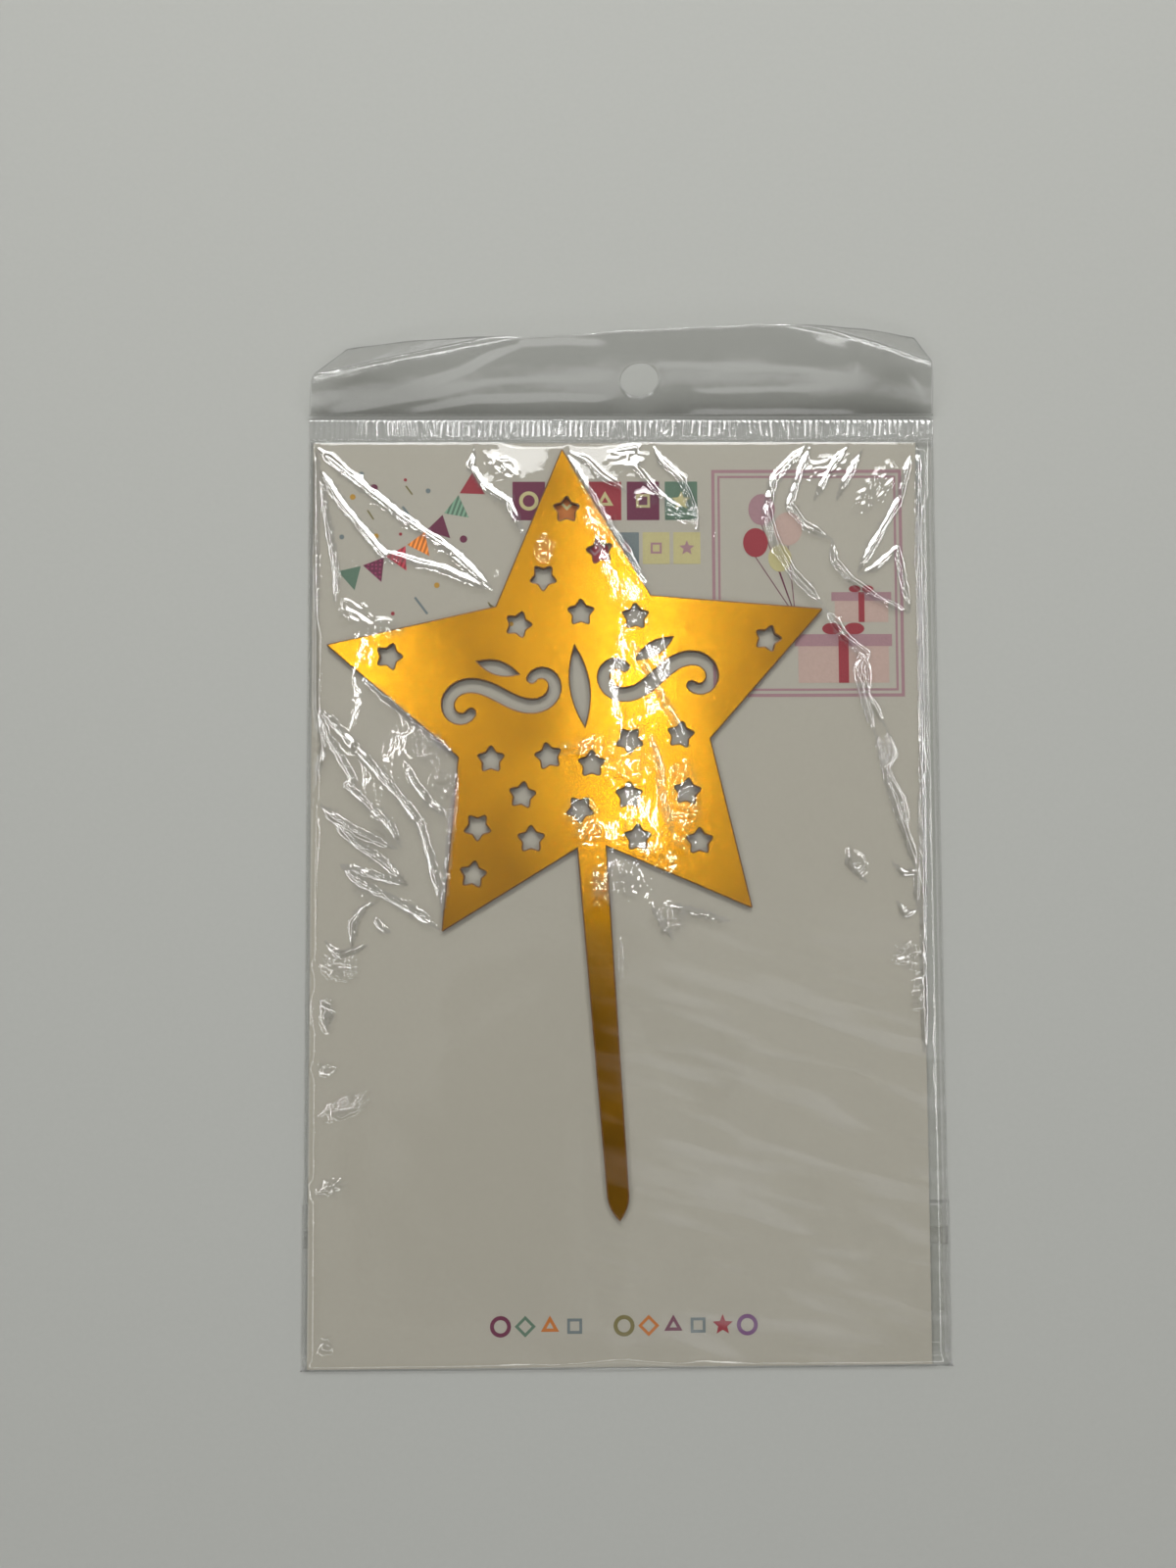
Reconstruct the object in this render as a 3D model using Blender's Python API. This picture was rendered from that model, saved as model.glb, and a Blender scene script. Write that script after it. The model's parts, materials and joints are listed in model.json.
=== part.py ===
"""Cake topper in its hanging pack, lying on its back.

A gold star on a tapered stick lies on a backing card inside a clear film bag.
The bag has a ribbed heat seal and a hanging header at the top, and a flap at the
bottom that is folded under the back and held by a strip of adhesive.

+X is to the pack's right, +Y towards the header and +Z up. The origin is at the
middle of the pack's outline, on the surface that the pack lies on.
"""

import math

import bmesh
import bpy
from mathutils import Matrix, Vector

MM = 0.001

# Topper: one flat sheet, cut to a star with a stick
STAR_RADIUS = 56.0 * MM
NOTCH_RADIUS = 28.3 * MM
TOPPER_THICKNESS = 1.2 * MM
TIP_ROUNDING = 0.25 * MM
STICK_LENGTH = 79.5 * MM
STICK_ROOT_WIDTH = 6.3 * MM
STICK_END_WIDTH = 4.6 * MM
STICK_POINT_LENGTH = 5.4 * MM
TOPPER_TURN = math.radians(4.05)

# Small stars cut through the topper
CUT_STAR_RADIUS = 3.0 * MM
CUT_STAR_NOTCH = 1.75 * MM
CUT_STAR_ROUNDING = 0.3 * MM

# Scroll ornament cut through the topper
SCROLL_STROKE = 2.9 * MM
SCROLL_END_STROKE = 1.9 * MM
SCROLL_TURN = math.radians(3.0)
ORNAMENT_HEIGHT = 4.5 * MM
ORNAMENT_LAND = 6.0 * MM
ORNAMENT_BRIDGE = 1.8 * MM
LEAF_WIDTH = 4.0 * MM
LEAF_LENGTH = 17.0 * MM
SIDE_LEAF_WIDTH = 2.8 * MM
SIDE_LEAF_LENGTH = 9.0 * MM
SIDE_LEAF_LIFT = 6.0 * MM
SIDE_LEAF_TURN = math.radians(-66)

# Backing card, by the room that it leaves round the topper
CARD_THICKNESS = 0.35 * MM
CARD_ROOM_LEFT = 3.4 * MM
CARD_ROOM_RIGHT = 20.93 * MM
CARD_ROOM_ABOVE = 1.8 * MM
CARD_ROOM_BELOW = 30.12 * MM

# Bag, by the room that it leaves round the card
FILM = 0.08 * MM
BAG_ROOM_LEFT = 1.0 * MM
BAG_ROOM_RIGHT = 4.0 * MM
BAG_ROOM_ABOVE = 0.7 * MM
BAG_ROOM_BELOW = 0.5 * MM
LAYER_GAP = 0.15 * MM
GLUE_GAP = 0.10 * MM
BUTT_GAP = 0.15 * MM
WELD_WIDTH = 0.4 * MM
WELD_THICKNESS = 0.15 * MM
FILM_SLOPE = 2.0 * MM
FILM_TOP_SLOPE = 1.2 * MM

# Flap folded under the back
FLAP_LENGTH = 34.0 * MM
FLAP_OVERHANG = 0.5 * MM
ADHESIVE_WIDTH = 3.6 * MM
ADHESIVE_THICKNESS = 0.05 * MM
ADHESIVE_INSET = 5.5 * MM
MOUTH_LIP = 2.8 * MM
BACK_DRAPE = 8.0 * MM

# Ribbed seal and header
BAND_LENGTH = 4.7 * MM
BAND_THICKNESS = 0.12 * MM
RIB_PITCH = 1.15 * MM
RIB_DEPTH = 0.3 * MM
RIB_STEPS = 4
HEADER_LENGTH = 20.0 * MM
HEADER_HINGE_GAP = 0.1 * MM
HEADER_TILT_LEFT = math.radians(52)
HEADER_TILT_RIGHT = math.radians(40)
LEFT_CREASE_START = 8.0 * MM
LEFT_CORNER_WIDTH = 46.0 * MM
LEFT_CORNER_TILT = math.radians(-16)
LEFT_CORNER_PULL = 4.0 * MM
RIGHT_CORNER_WIDTH = 37.0 * MM
PLY_DROP = 0.35 * MM
PLY_STEP = 0.20 * MM
HANG_HOLE_RADIUS = 4.0 * MM
HANG_HOLE_RISE = 8.7 * MM
HANG_HOLE_OFFSET = 3.4 * MM
HEADER_COLUMNS = 8
HEADER_ROWS = 4

# Each cut star: bearing from the apex in degrees, share of the way to the star's
# edge, and its own turn in degrees
CUT_STARS = (
    (0, 0.76, -4),
    (-11, 0.82, 7),
    (12, 0.72, 32),
    (33, 0.76, 50),
    (-4, 0.41, -4),
    (-35, 0.79, -4),
    (71, 0.78, 50),
    (-74, 0.81, 50),
    (116, 0.72, -4),
    (142, 0.24, 7),
    (-174, 0.41, -4),
    (-129, 0.33, 32),
    (-110, 0.76, -12),
    (142, 0.43, -12),
    (175, 0.73, 32),
    (-156, 0.53, -4),
    (-133, 0.70, -10),
    (135, 0.78, 32),
    (155, 0.73, -4),
    (-161, 0.83, -4),
    (-143, 0.70, -4),
    (143, 0.78, -12),
)

for old in list(bpy.data.objects):
    bpy.data.objects.remove(old)


def finish(name, colour, roughness, metallic=0.0, alpha=1.0):
    """A plain surface for one piece."""
    material = bpy.data.materials.new(name)
    material.use_nodes = True
    shader = material.node_tree.nodes["Principled BSDF"]
    shader.inputs["Base Color"].default_value = (*colour, 1.0)
    shader.inputs["Roughness"].default_value = roughness
    shader.inputs["Metallic"].default_value = metallic
    shader.inputs["Alpha"].default_value = alpha
    material.diffuse_color = (*colour, alpha)
    return material


def empty(name, place=(0, 0, 0)):
    """A bare axis that pieces hang from."""
    axis = bpy.data.objects.new(name, None)
    axis.location = place
    bpy.context.collection.objects.link(axis)
    return axis


def piece(name, bm, material, parent, place=(0, 0, 0), turn=0.0):
    """Makes an object of bm, whose points are measured from place."""
    mesh = bpy.data.meshes.new(name)
    bm.to_mesh(mesh)
    bm.free()
    mesh.materials.append(material)
    made = bpy.data.objects.new(name, mesh)
    bpy.context.collection.objects.link(made)
    made.parent = parent
    made.location = Vector(place) - parent.location
    made.rotation_euler = (0, 0, turn)
    return made


def thicken(made, thickness, up=True):
    """Gives a sheet its thickness, above or below the surface it was drawn on."""
    wall = made.modifiers.new("Thickness", "SOLIDIFY")
    wall.thickness = thickness
    wall.offset = 1.0 if up else -1.0
    wall.use_even_offset = True


def loft(rows):
    """A sheet through rows of points, each row as long as the next."""
    bm = bmesh.new()
    grid = [[bm.verts.new(point) for point in row] for row in rows]
    for near, far in zip(grid, grid[1:]):
        for i in range(len(near) - 1):
            bm.faces.new((near[i], near[i + 1], far[i + 1], far[i]))
    bmesh.ops.recalc_face_normals(bm, faces=bm.faces)
    face_up(bm)
    return bm


def face_up(bm):
    """Turns a sheet over if it faces down."""
    bm.normal_update()
    if sum(face.normal.z * face.calc_area() for face in bm.faces) < 0:
        bmesh.ops.reverse_faces(bm, faces=bm.faces)


def cut_sheet(outlines):
    """A flat sheet inside the first outline, with the others as holes."""
    bm = bmesh.new()
    for outline in outlines:
        ring = [bm.verts.new((x, y, 0.0)) for x, y in outline]
        for start, end in zip(ring, ring[1:] + ring[:1]):
            bm.edges.new((start, end))
    bmesh.ops.triangle_fill(bm, use_beauty=True, edges=bm.edges)
    face_up(bm)
    return bm


def rectangle(left, right, low, high):
    """The outline of a rectangle."""
    return [(left, low), (right, low), (right, high), (left, high)]


def rounded(corners, radius, steps=2):
    """The closed outline through corners, each one rounded to radius."""
    outline = []
    for i, corner in enumerate(corners):
        back = (corners[i - 1] - corner).normalized()
        ahead = (corners[(i + 1) % len(corners)] - corner).normalized()
        half = back.angle(ahead) / 2
        centre = corner + (back + ahead).normalized() * radius / math.sin(half)
        start = corner + back * radius / math.tan(half) - centre
        end = corner + ahead * radius / math.tan(half) - centre
        sweep = start.angle_signed(end)
        for step in range(steps + 1):
            spoke = Matrix.Rotation(-sweep * step / steps, 2) @ start
            outline.append(centre + spoke)
    return outline


def polar(bearing, distance):
    """A point by its bearing, anticlockwise from +Y, and its distance."""
    return Vector((-math.sin(bearing), math.cos(bearing))) * distance


def star_corners(radius, notch, turn=0.0):
    """The ten corners of a five-pointed star, anticlockwise from its apex."""
    fifth = 2 * math.pi / 5
    corners = []
    for i in range(5):
        corners.append(polar(turn + i * fifth, radius))
        corners.append(polar(turn + (i + 0.5) * fifth, notch))
    return corners


def star_edge(bearing):
    """How far the topper's star reaches at a bearing."""
    fifth = 2 * math.pi / 5
    aside = abs((bearing + fifth / 2) % fifth - fifth / 2)
    tip = polar(0.0, STAR_RADIUS)
    notch = polar(fifth / 2, NOTCH_RADIUS)
    run = notch - tip
    ray = polar(aside, 1.0)
    return (tip.x * run.y - tip.y * run.x) / (ray.x * run.y - ray.y * run.x)


def stick_corners():
    """The stick's corners, from its left root round the point to its right root."""
    root = STICK_ROOT_WIDTH / 2
    end = STICK_END_WIDTH / 2
    tip = polar(2 * math.pi * 2 / 5, STAR_RADIUS)
    root_y = -NOTCH_RADIUS + (tip.y + NOTCH_RADIUS) * root / abs(tip.x)
    point_y = -NOTCH_RADIUS - STICK_LENGTH
    shoulder_y = point_y + STICK_POINT_LENGTH
    left = [Vector((-root, root_y))]
    steps = 6
    for i in range(steps):
        share = i / steps
        left.append(Vector((-end * (1 - share**2), shoulder_y - STICK_POINT_LENGTH * share)))
    right = [Vector((-corner.x, corner.y)) for corner in reversed(left)]
    return left + [Vector((0.0, point_y))] + right


def topper_outline():
    """The star and its stick, as one closed outline round the star's centre."""
    corners = star_corners(STAR_RADIUS, NOTCH_RADIUS)
    lowest = len(corners) // 2
    star = rounded(corners, TIP_ROUNDING)
    per_corner = len(star) // len(corners)
    before = star[: lowest * per_corner]
    after = star[(lowest + 1) * per_corner :]
    return before + stick_corners() + after


def cut_star(bearing, share, turn):
    """One small star hole."""
    centre = polar(bearing, share * star_edge(bearing))
    corners = [centre + corner for corner in star_corners(CUT_STAR_RADIUS, CUT_STAR_NOTCH, turn)]
    return rounded(corners, CUT_STAR_ROUNDING)


def ribbon(spine, width, end_width):
    """The outline of a stroke along a spine, widest halfway, with round ends."""
    last = len(spine) - 1
    sides = []
    for i, point in enumerate(spine):
        along = (spine[min(i + 1, last)] - spine[max(i - 1, 0)]).normalized()
        fullness = 1 - (2 * i / last - 1) ** 2
        half = (end_width + (width - end_width) * fullness) / 2
        sides.append(Vector((-along.y, along.x)) * half)
    left = [point + side for point, side in zip(spine, sides)]
    right = [point - side for point, side in zip(spine, sides)]
    steps = 5
    turns = [Matrix.Rotation(-math.pi * i / steps, 2) for i in range(1, steps)]
    far_cap = [spine[-1] + turn @ sides[-1] for turn in turns]
    near_cap = [spine[0] - turn @ sides[0] for turn in turns]
    return left + far_cap + right[::-1] + near_cap


def scroll_spine(reach):
    """A lying S that curls in at both ends and spans 0 to reach along X."""
    steps = 48
    middle_heading = 0.62
    curl = 4.7
    point = Vector((0.0, 0.0))
    points = [point.copy()]
    for i in range(steps):
        share = (i + 0.5) / steps * 2 - 1
        heading = middle_heading - curl * share**2
        point = point + Vector((math.cos(heading), math.sin(heading)))
        points.append(point.copy())
    low = min(point.x for point in points)
    high = max(point.x for point in points)
    middle = (points[0].y + points[-1].y) / 2
    scale = reach / (high - low)
    return [Vector(((p.x - low) * scale, (p.y - middle) * scale)) for p in points]


def leaf(centre, length, width, turn):
    """A pointed oval, as a hole outline."""
    steps = 8
    side = []
    for i in range(steps):
        share = i / steps
        bulge = 4 * share * (1 - share)
        side.append(Vector((-width / 2 * bulge, length * (0.5 - share))))
    other = [-point for point in side]
    turned = Matrix.Rotation(turn, 2)
    return [centre + turned @ point for point in side + other]


def ornament():
    """A leaf between two mirrored scrolls with a small leaf over each, as hole outlines."""
    quarter = math.pi / 2
    reach = star_edge(quarter) - ORNAMENT_LAND
    inner = LEAF_WIDTH / 2 + ORNAMENT_BRIDGE + SCROLL_STROKE / 2
    spine = scroll_spine(reach - inner - SCROLL_STROKE / 2)
    right = [Vector((point.x + inner, point.y)) for point in spine]
    middle = right[len(right) // 2]
    above = middle + Vector((0.0, SIDE_LEAF_LIFT))
    shapes = [ribbon(right, SCROLL_STROKE, SCROLL_END_STROKE)]
    shapes.append(leaf(above, SIDE_LEAF_LENGTH, SIDE_LEAF_WIDTH, SIDE_LEAF_TURN))
    shapes += [[Vector((-point.x, point.y)) for point in shape] for shape in shapes]
    shapes.append(leaf(Vector((0.0, 0.0)), LEAF_LENGTH, LEAF_WIDTH, 0.0))
    turned = Matrix.Rotation(SCROLL_TURN, 2)
    lift = Vector((0.0, ORNAMENT_HEIGHT))
    return [[turned @ point + lift for point in shape] for shape in shapes]


# What the topper's outline asks of the card and the bag, in the pack's own axes
TURNED_OUTLINE = [Matrix.Rotation(TOPPER_TURN, 2) @ point for point in topper_outline()]
TOPPER_LEFT = min(point.x for point in TURNED_OUTLINE)
TOPPER_RIGHT = max(point.x for point in TURNED_OUTLINE)
TOPPER_LOW = min(point.y for point in TURNED_OUTLINE)
TOPPER_HIGH = max(point.y for point in TURNED_OUTLINE)

CARD_WIDTH = CARD_ROOM_LEFT + TOPPER_RIGHT - TOPPER_LEFT + CARD_ROOM_RIGHT
CARD_LENGTH = CARD_ROOM_BELOW + TOPPER_HIGH - TOPPER_LOW + CARD_ROOM_ABOVE
BAG_WIDTH = BAG_ROOM_LEFT + CARD_WIDTH + BAG_ROOM_RIGHT
POCKET_LENGTH = BAG_ROOM_BELOW + CARD_LENGTH + BAG_ROOM_ABOVE
HINGE_STANDOFF = RIB_DEPTH + BAND_THICKNESS
TOTAL_LENGTH = POCKET_LENGTH + BAND_LENGTH + HINGE_STANDOFF + HEADER_LENGTH + HEADER_HINGE_GAP

BAG_LEFT = -BAG_WIDTH / 2
BAG_RIGHT = BAG_WIDTH / 2
FOLD_Y = -TOTAL_LENGTH / 2
CARD_LEFT = BAG_LEFT + BAG_ROOM_LEFT
CARD_RIGHT = CARD_LEFT + CARD_WIDTH
CARD_LOW = FOLD_Y + BAG_ROOM_BELOW
CARD_HIGH = CARD_LOW + CARD_LENGTH
BAND_LOW = FOLD_Y + POCKET_LENGTH
BAND_HIGH = BAND_LOW + BAND_LENGTH
HINGE_Y = BAND_HIGH + HINGE_STANDOFF
TOPPER_X = CARD_LEFT + CARD_ROOM_LEFT - TOPPER_LEFT
TOPPER_Y = CARD_LOW + CARD_ROOM_BELOW - TOPPER_LOW

# Undersides of the layers, from the table up
ADHESIVE_Z = FILM + GLUE_GAP
BACK_RAISED_Z = ADHESIVE_Z + ADHESIVE_THICKNESS + GLUE_GAP
CARD_Z = BACK_RAISED_Z + FILM + LAYER_GAP
TOPPER_Z = CARD_Z + CARD_THICKNESS + LAYER_GAP
WELD_Z = BACK_RAISED_Z + FILM + GLUE_GAP
FILM_EDGE_Z = WELD_Z + WELD_THICKNESS + GLUE_GAP
FILM_TOP_Z = TOPPER_Z + TOPPER_THICKNESS + LAYER_GAP
FOLD_Z = (FILM_EDGE_Z + FILM) / 2
HINGE_Z = FILM_EDGE_Z + RIB_DEPTH / 2 + BAND_THICKNESS

GOLD = finish("gold_mirror", (0.85, 0.52, 0.06), 0.28, metallic=1.0)
CARD = finish("white_card", (0.80, 0.78, 0.74), 0.75)
CLEAR = finish("clear_film", (0.92, 0.93, 0.94), 0.08, alpha=0.25)
WELD = finish("welded_film", (0.88, 0.89, 0.90), 0.20, alpha=0.45)
GLUE = finish("clear_adhesive", (0.86, 0.86, 0.83), 0.50, alpha=0.40)


def make_topper(pack):
    """The star on its stick, with its small stars and its ornament cut through."""
    holes = [
        cut_star(math.radians(bearing), share, math.radians(turn))
        for bearing, share, turn in CUT_STARS
    ]
    bm = cut_sheet([topper_outline(), *holes, *ornament()])
    topper = piece("topper", bm, GOLD, pack, (TOPPER_X, TOPPER_Y, TOPPER_Z), TOPPER_TURN)
    thicken(topper, TOPPER_THICKNESS)


def make_card(pack):
    """The printed card that the topper lies on."""
    half_width = CARD_WIDTH / 2
    half_length = CARD_LENGTH / 2
    bm = cut_sheet([rectangle(-half_width, half_width, -half_length, half_length)])
    middle = (CARD_LEFT + half_width, CARD_LOW + half_length, CARD_Z)
    card = piece("backing_card", bm, CARD, pack, middle)
    thicken(card, CARD_THICKNESS)


def make_front_film(pack):
    """The clear front of the bag, welded low at the sides and raised over the topper."""
    side_steps = (0.0, WELD_WIDTH, BAG_ROOM_LEFT, BAG_ROOM_LEFT + FILM_SLOPE)
    heights = (FILM_EDGE_Z, FILM_EDGE_Z, TOPPER_Z, FILM_TOP_Z)
    across = [(BAG_LEFT + step, z) for step, z in zip(side_steps, heights)]
    across += [(-x, z) for x, z in reversed(across)]
    along = (
        (FOLD_Y + BUTT_GAP, FILM_EDGE_Z),
        (CARD_LOW, TOPPER_Z),
        (CARD_LOW + FILM_SLOPE, FILM_TOP_Z),
        (BAND_LOW - FILM_TOP_SLOPE, FILM_TOP_Z),
        (BAND_LOW - BUTT_GAP, FILM_EDGE_Z),
    )
    rows = [[(x, y, min(side_z, end_z)) for x, side_z in across] for y, end_z in along]
    film = piece("front_film", loft(rows), CLEAR, pack)
    thicken(film, FILM)


def make_back_film(pack):
    """The clear back, which lies on the table and steps up over the folded flap."""
    flap_end = FOLD_Y + FLAP_LENGTH
    along = (
        (FOLD_Y + MOUTH_LIP, BACK_RAISED_Z),
        (flap_end + BUTT_GAP, BACK_RAISED_Z),
        (flap_end + BACK_DRAPE, 0.0),
        (BAND_LOW - BACK_DRAPE, 0.0),
        (BAND_LOW - BUTT_GAP, BACK_RAISED_Z),
    )
    rows = [[(BAG_LEFT, y, z), (BAG_RIGHT, y, z)] for y, z in along]
    film = piece("back_film", loft(rows), CLEAR, pack)
    thicken(film, FILM)


def make_side_weld(name, left, pack):
    """One fused edge, where the front and back films are joined down the side."""
    low = FOLD_Y + MOUTH_LIP
    bm = cut_sheet([rectangle(left, left + WELD_WIDTH, low, BAND_LOW - BUTT_GAP)])
    weld = piece(name, bm, WELD, pack, (0, 0, WELD_Z))
    thicken(weld, WELD_THICKNESS)


def make_seal_band(pack):
    """The ribbed heat seal between the pocket and the header."""
    steps = RIB_STEPS * round(BAG_WIDTH / RIB_PITCH)
    profile = []
    for i in range(steps + 1):
        height = FILM_EDGE_Z + RIB_DEPTH / 2 * math.sin(2 * math.pi * i / RIB_STEPS)
        profile.append((BAG_LEFT + BAG_WIDTH * i / steps, height))
    rows = [[(x, y, z) for x, z in profile] for y in (BAND_LOW, BAND_HIGH)]
    band = piece("header_seal_band", loft(rows), WELD, pack)
    thicken(band, BAND_THICKNESS)


def header_column(across):
    """Points up the header at a share of the bag's width, from its hinge line.

    The middle slopes up. Beyond a crease at each end the corner lies back down.
    """
    tilt = HEADER_TILT_LEFT + (HEADER_TILT_RIGHT - HEADER_TILT_LEFT) * across
    x = BAG_WIDTH * across
    from_right = BAG_WIDTH - x
    crease = HEADER_LENGTH
    corner_tilt = tilt
    pull = 0.0
    if x < LEFT_CORNER_WIDTH:
        share = x / LEFT_CORNER_WIDTH
        crease = LEFT_CREASE_START + (HEADER_LENGTH - LEFT_CREASE_START) * share
        corner_tilt = LEFT_CORNER_TILT
        pull = LEFT_CORNER_PULL * (1 - share)
    elif from_right < RIGHT_CORNER_WIDTH:
        crease = HEADER_LENGTH * from_right / RIGHT_CORNER_WIDTH
        corner_tilt = 0.0
    column = []
    for row in range(HEADER_ROWS + 1):
        rise = crease * row / HEADER_ROWS
        y = HEADER_HINGE_GAP + rise * math.cos(tilt)
        column.append(Vector((x, y, rise * math.sin(tilt))))
    corner = HEADER_LENGTH - crease
    for row in range(1, HEADER_ROWS + 1):
        run = corner * row / HEADER_ROWS
        offset = Vector((pull * run / HEADER_LENGTH, run * math.cos(corner_tilt), 0.0))
        offset.z = run * math.sin(corner_tilt)
        column.append(column[HEADER_ROWS] + offset)
    return column


def make_header_ply(name, drop, step, pack):
    """One of the header's two plies, with the hang hole cut through it."""
    stations = [i / (3 * HEADER_COLUMNS) for i in range(3 * HEADER_COLUMNS + 1)]
    columns = [header_column(station) for station in stations]
    rows = list(zip(*columns))
    bm = loft(rows)
    bmesh.ops.remove_doubles(bm, verts=bm.verts, dist=FILM / 10)
    hinge = (BAG_LEFT, HINGE_Y + step, HINGE_Z - drop)
    ply = piece(name, bm, CLEAR, pack, hinge)
    thicken(ply, FILM, up=False)
    return ply


def cut_hang_hole(plies, pack):
    """Cuts the hang hole square through both plies."""
    share = (BAG_WIDTH / 2 + HANG_HOLE_OFFSET) / BAG_WIDTH
    tilt = HEADER_TILT_LEFT + (HEADER_TILT_RIGHT - HEADER_TILT_LEFT) * share
    y = HINGE_Y + HEADER_HINGE_GAP + HANG_HOLE_RISE * math.cos(tilt)
    z = HINGE_Z + HANG_HOLE_RISE * math.sin(tilt)
    bm = bmesh.new()
    bmesh.ops.create_cone(
        bm,
        cap_ends=True,
        segments=32,
        radius1=HANG_HOLE_RADIUS,
        radius2=HANG_HOLE_RADIUS,
        depth=HANG_HOLE_RADIUS,
    )
    cutter = piece("hang_hole_cutter", bm, CLEAR, pack, (HANG_HOLE_OFFSET, y, z))
    cutter.rotation_euler = (tilt, 0, 0)
    cutter.hide_render = True
    cutter.display_type = "WIRE"
    for ply in plies:
        cut = ply.modifiers.new("Hang hole", "BOOLEAN")
        cut.operation = "DIFFERENCE"
        cut.solver = "EXACT"
        cut.object = cutter


def make_flap(pack):
    """The closing flap under the back, with the adhesive strip that holds it."""
    fold = empty("flap_fold", (0, FOLD_Y, FOLD_Z))
    fold.parent = pack
    left = BAG_LEFT - FLAP_OVERHANG
    right = BAG_RIGHT + FLAP_OVERHANG
    bm = cut_sheet([rectangle(left, right, 0.0, FLAP_LENGTH)])
    flap = piece("closing_flap", bm, CLEAR, fold, (0, FOLD_Y, 0))
    thicken(flap, FILM)
    high = FLAP_LENGTH - ADHESIVE_INSET
    bm = cut_sheet([rectangle(BAG_LEFT, BAG_RIGHT, high - ADHESIVE_WIDTH, high)])
    strip = piece("adhesive_strip", bm, GLUE, fold, (0, FOLD_Y, ADHESIVE_Z))
    thicken(strip, ADHESIVE_THICKNESS)


def main():
    """Builds the whole pack, lying on its back."""
    pack = empty("pack")
    make_topper(pack)
    make_card(pack)
    make_front_film(pack)
    make_back_film(pack)
    make_side_weld("left_side_weld", BAG_LEFT, pack)
    make_side_weld("right_side_weld", BAG_RIGHT - WELD_WIDTH, pack)
    make_seal_band(pack)
    header = empty("header_fold", (0, HINGE_Y, HINGE_Z))
    header.parent = pack
    front = make_header_ply("header_front_film", 0.0, 0.0, header)
    back = make_header_ply("header_back_film", PLY_DROP, PLY_STEP, header)
    cut_hang_hole((front, back), header)
    make_flap(pack)


main()
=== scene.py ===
"""Looks of a gold star cake topper in its clear hanging pack.

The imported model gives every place. This script dresses it: the cut gold sheet, the
printed card, and the creased film of the bag with its ribbed seal, header and flap.
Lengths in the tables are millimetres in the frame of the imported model.
"""

import json
import math

import bmesh
import bpy
import numpy as np
from bpy.props import FloatProperty, FloatVectorProperty, PointerProperty
from bpy.types import Operator, Panel, PropertyGroup
from mathutils import Euler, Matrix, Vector, noise


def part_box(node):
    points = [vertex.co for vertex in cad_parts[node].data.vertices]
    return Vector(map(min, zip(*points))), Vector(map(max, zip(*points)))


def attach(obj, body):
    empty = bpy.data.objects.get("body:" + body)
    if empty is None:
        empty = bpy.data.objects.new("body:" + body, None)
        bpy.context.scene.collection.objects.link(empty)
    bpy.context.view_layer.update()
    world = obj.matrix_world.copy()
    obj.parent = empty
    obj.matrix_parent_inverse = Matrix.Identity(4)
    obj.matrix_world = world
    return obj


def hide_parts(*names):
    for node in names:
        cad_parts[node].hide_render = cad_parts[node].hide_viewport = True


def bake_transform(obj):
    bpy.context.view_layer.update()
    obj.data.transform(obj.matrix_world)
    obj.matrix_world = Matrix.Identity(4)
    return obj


bl_info = {
    "name": "Cake topper pack",
    "version": (1, 0, 0),
    "blender": (4, 5, 0),
    "location": "3D View > Sidebar > Topper pack",
    "description": "Dresses a gold star cake topper in its clear hanging pack",
    "category": "Object",
}

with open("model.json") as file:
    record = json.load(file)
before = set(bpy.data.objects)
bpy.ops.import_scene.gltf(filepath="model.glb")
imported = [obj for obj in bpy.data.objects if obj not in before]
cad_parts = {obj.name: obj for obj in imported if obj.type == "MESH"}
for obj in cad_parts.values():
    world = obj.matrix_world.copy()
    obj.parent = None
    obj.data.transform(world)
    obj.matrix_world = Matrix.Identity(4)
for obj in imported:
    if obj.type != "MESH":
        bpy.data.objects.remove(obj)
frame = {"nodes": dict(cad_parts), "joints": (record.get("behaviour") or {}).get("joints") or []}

MM = 0.001

CARD_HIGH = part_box("backing_card")[1]
FILM_LOW, FILM_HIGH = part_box("front_film")
BACK_LOW, BACK_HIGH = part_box("back_film")
BAND_LOW, BAND_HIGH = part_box("header_seal_band")
FLAP_LOW, FLAP_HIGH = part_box("closing_flap")
GLUE_LOW, GLUE_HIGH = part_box("adhesive_strip")
HEADER_LOW, HEADER_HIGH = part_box("header_front_film")
BACK_PLY_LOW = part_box("header_back_film")[0]
JOINTS = {joint["name"]: joint for joint in frame["joints"]}
HEADER_AXIS = Vector(JOINTS["header_fold"]["pos_m"])
FLAP_AXIS = Vector(JOINTS["flap_fold"]["pos_m"])

# How far the front film may have come up from its welded edges: distance in, and height
SIDE_RISE = ((0.0, 0.0), (0.4, 0.0), (1.0, 0.3), (3.0, 1.65))
FOOT_RISE = ((0.0, 0.0), (0.35, 0.3), (2.35, 1.65))
HEAD_RISE = ((0.0, 0.0), (0.25, 0.3), (1.14, 1.65))

# At the head it stays low, but for so far round the topper
HEAD_EASE = ((0.0, 0.0), (0.35, 0.36), (14.0, 0.75))
HEAD_EASE_REACH = 12.0

# Slow waves of the film: how far in from its edges they reach their full height, their mean
# height as a share, and for each set its share, waves to the millimetre, two slants and seed
SWAY_REACH = 9.0
SWAY_MEAN = 0.5
SWAY_SETS = ((0.35, 0.045, 0.35, -0.5, 5.0), (0.3, 0.10, -0.3, 0.3, 15.0))

# The film is drawn over the topper wherever that can slide, and comes down beside it:
# margin round the topper, slope down, and the level where it lies over the card
TENT_MARGIN = 0.7
TENT_SLOPE = math.tan(math.radians(7))
TENT_FOOT = 0.5
SLIDE_STEPS = 9

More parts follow.
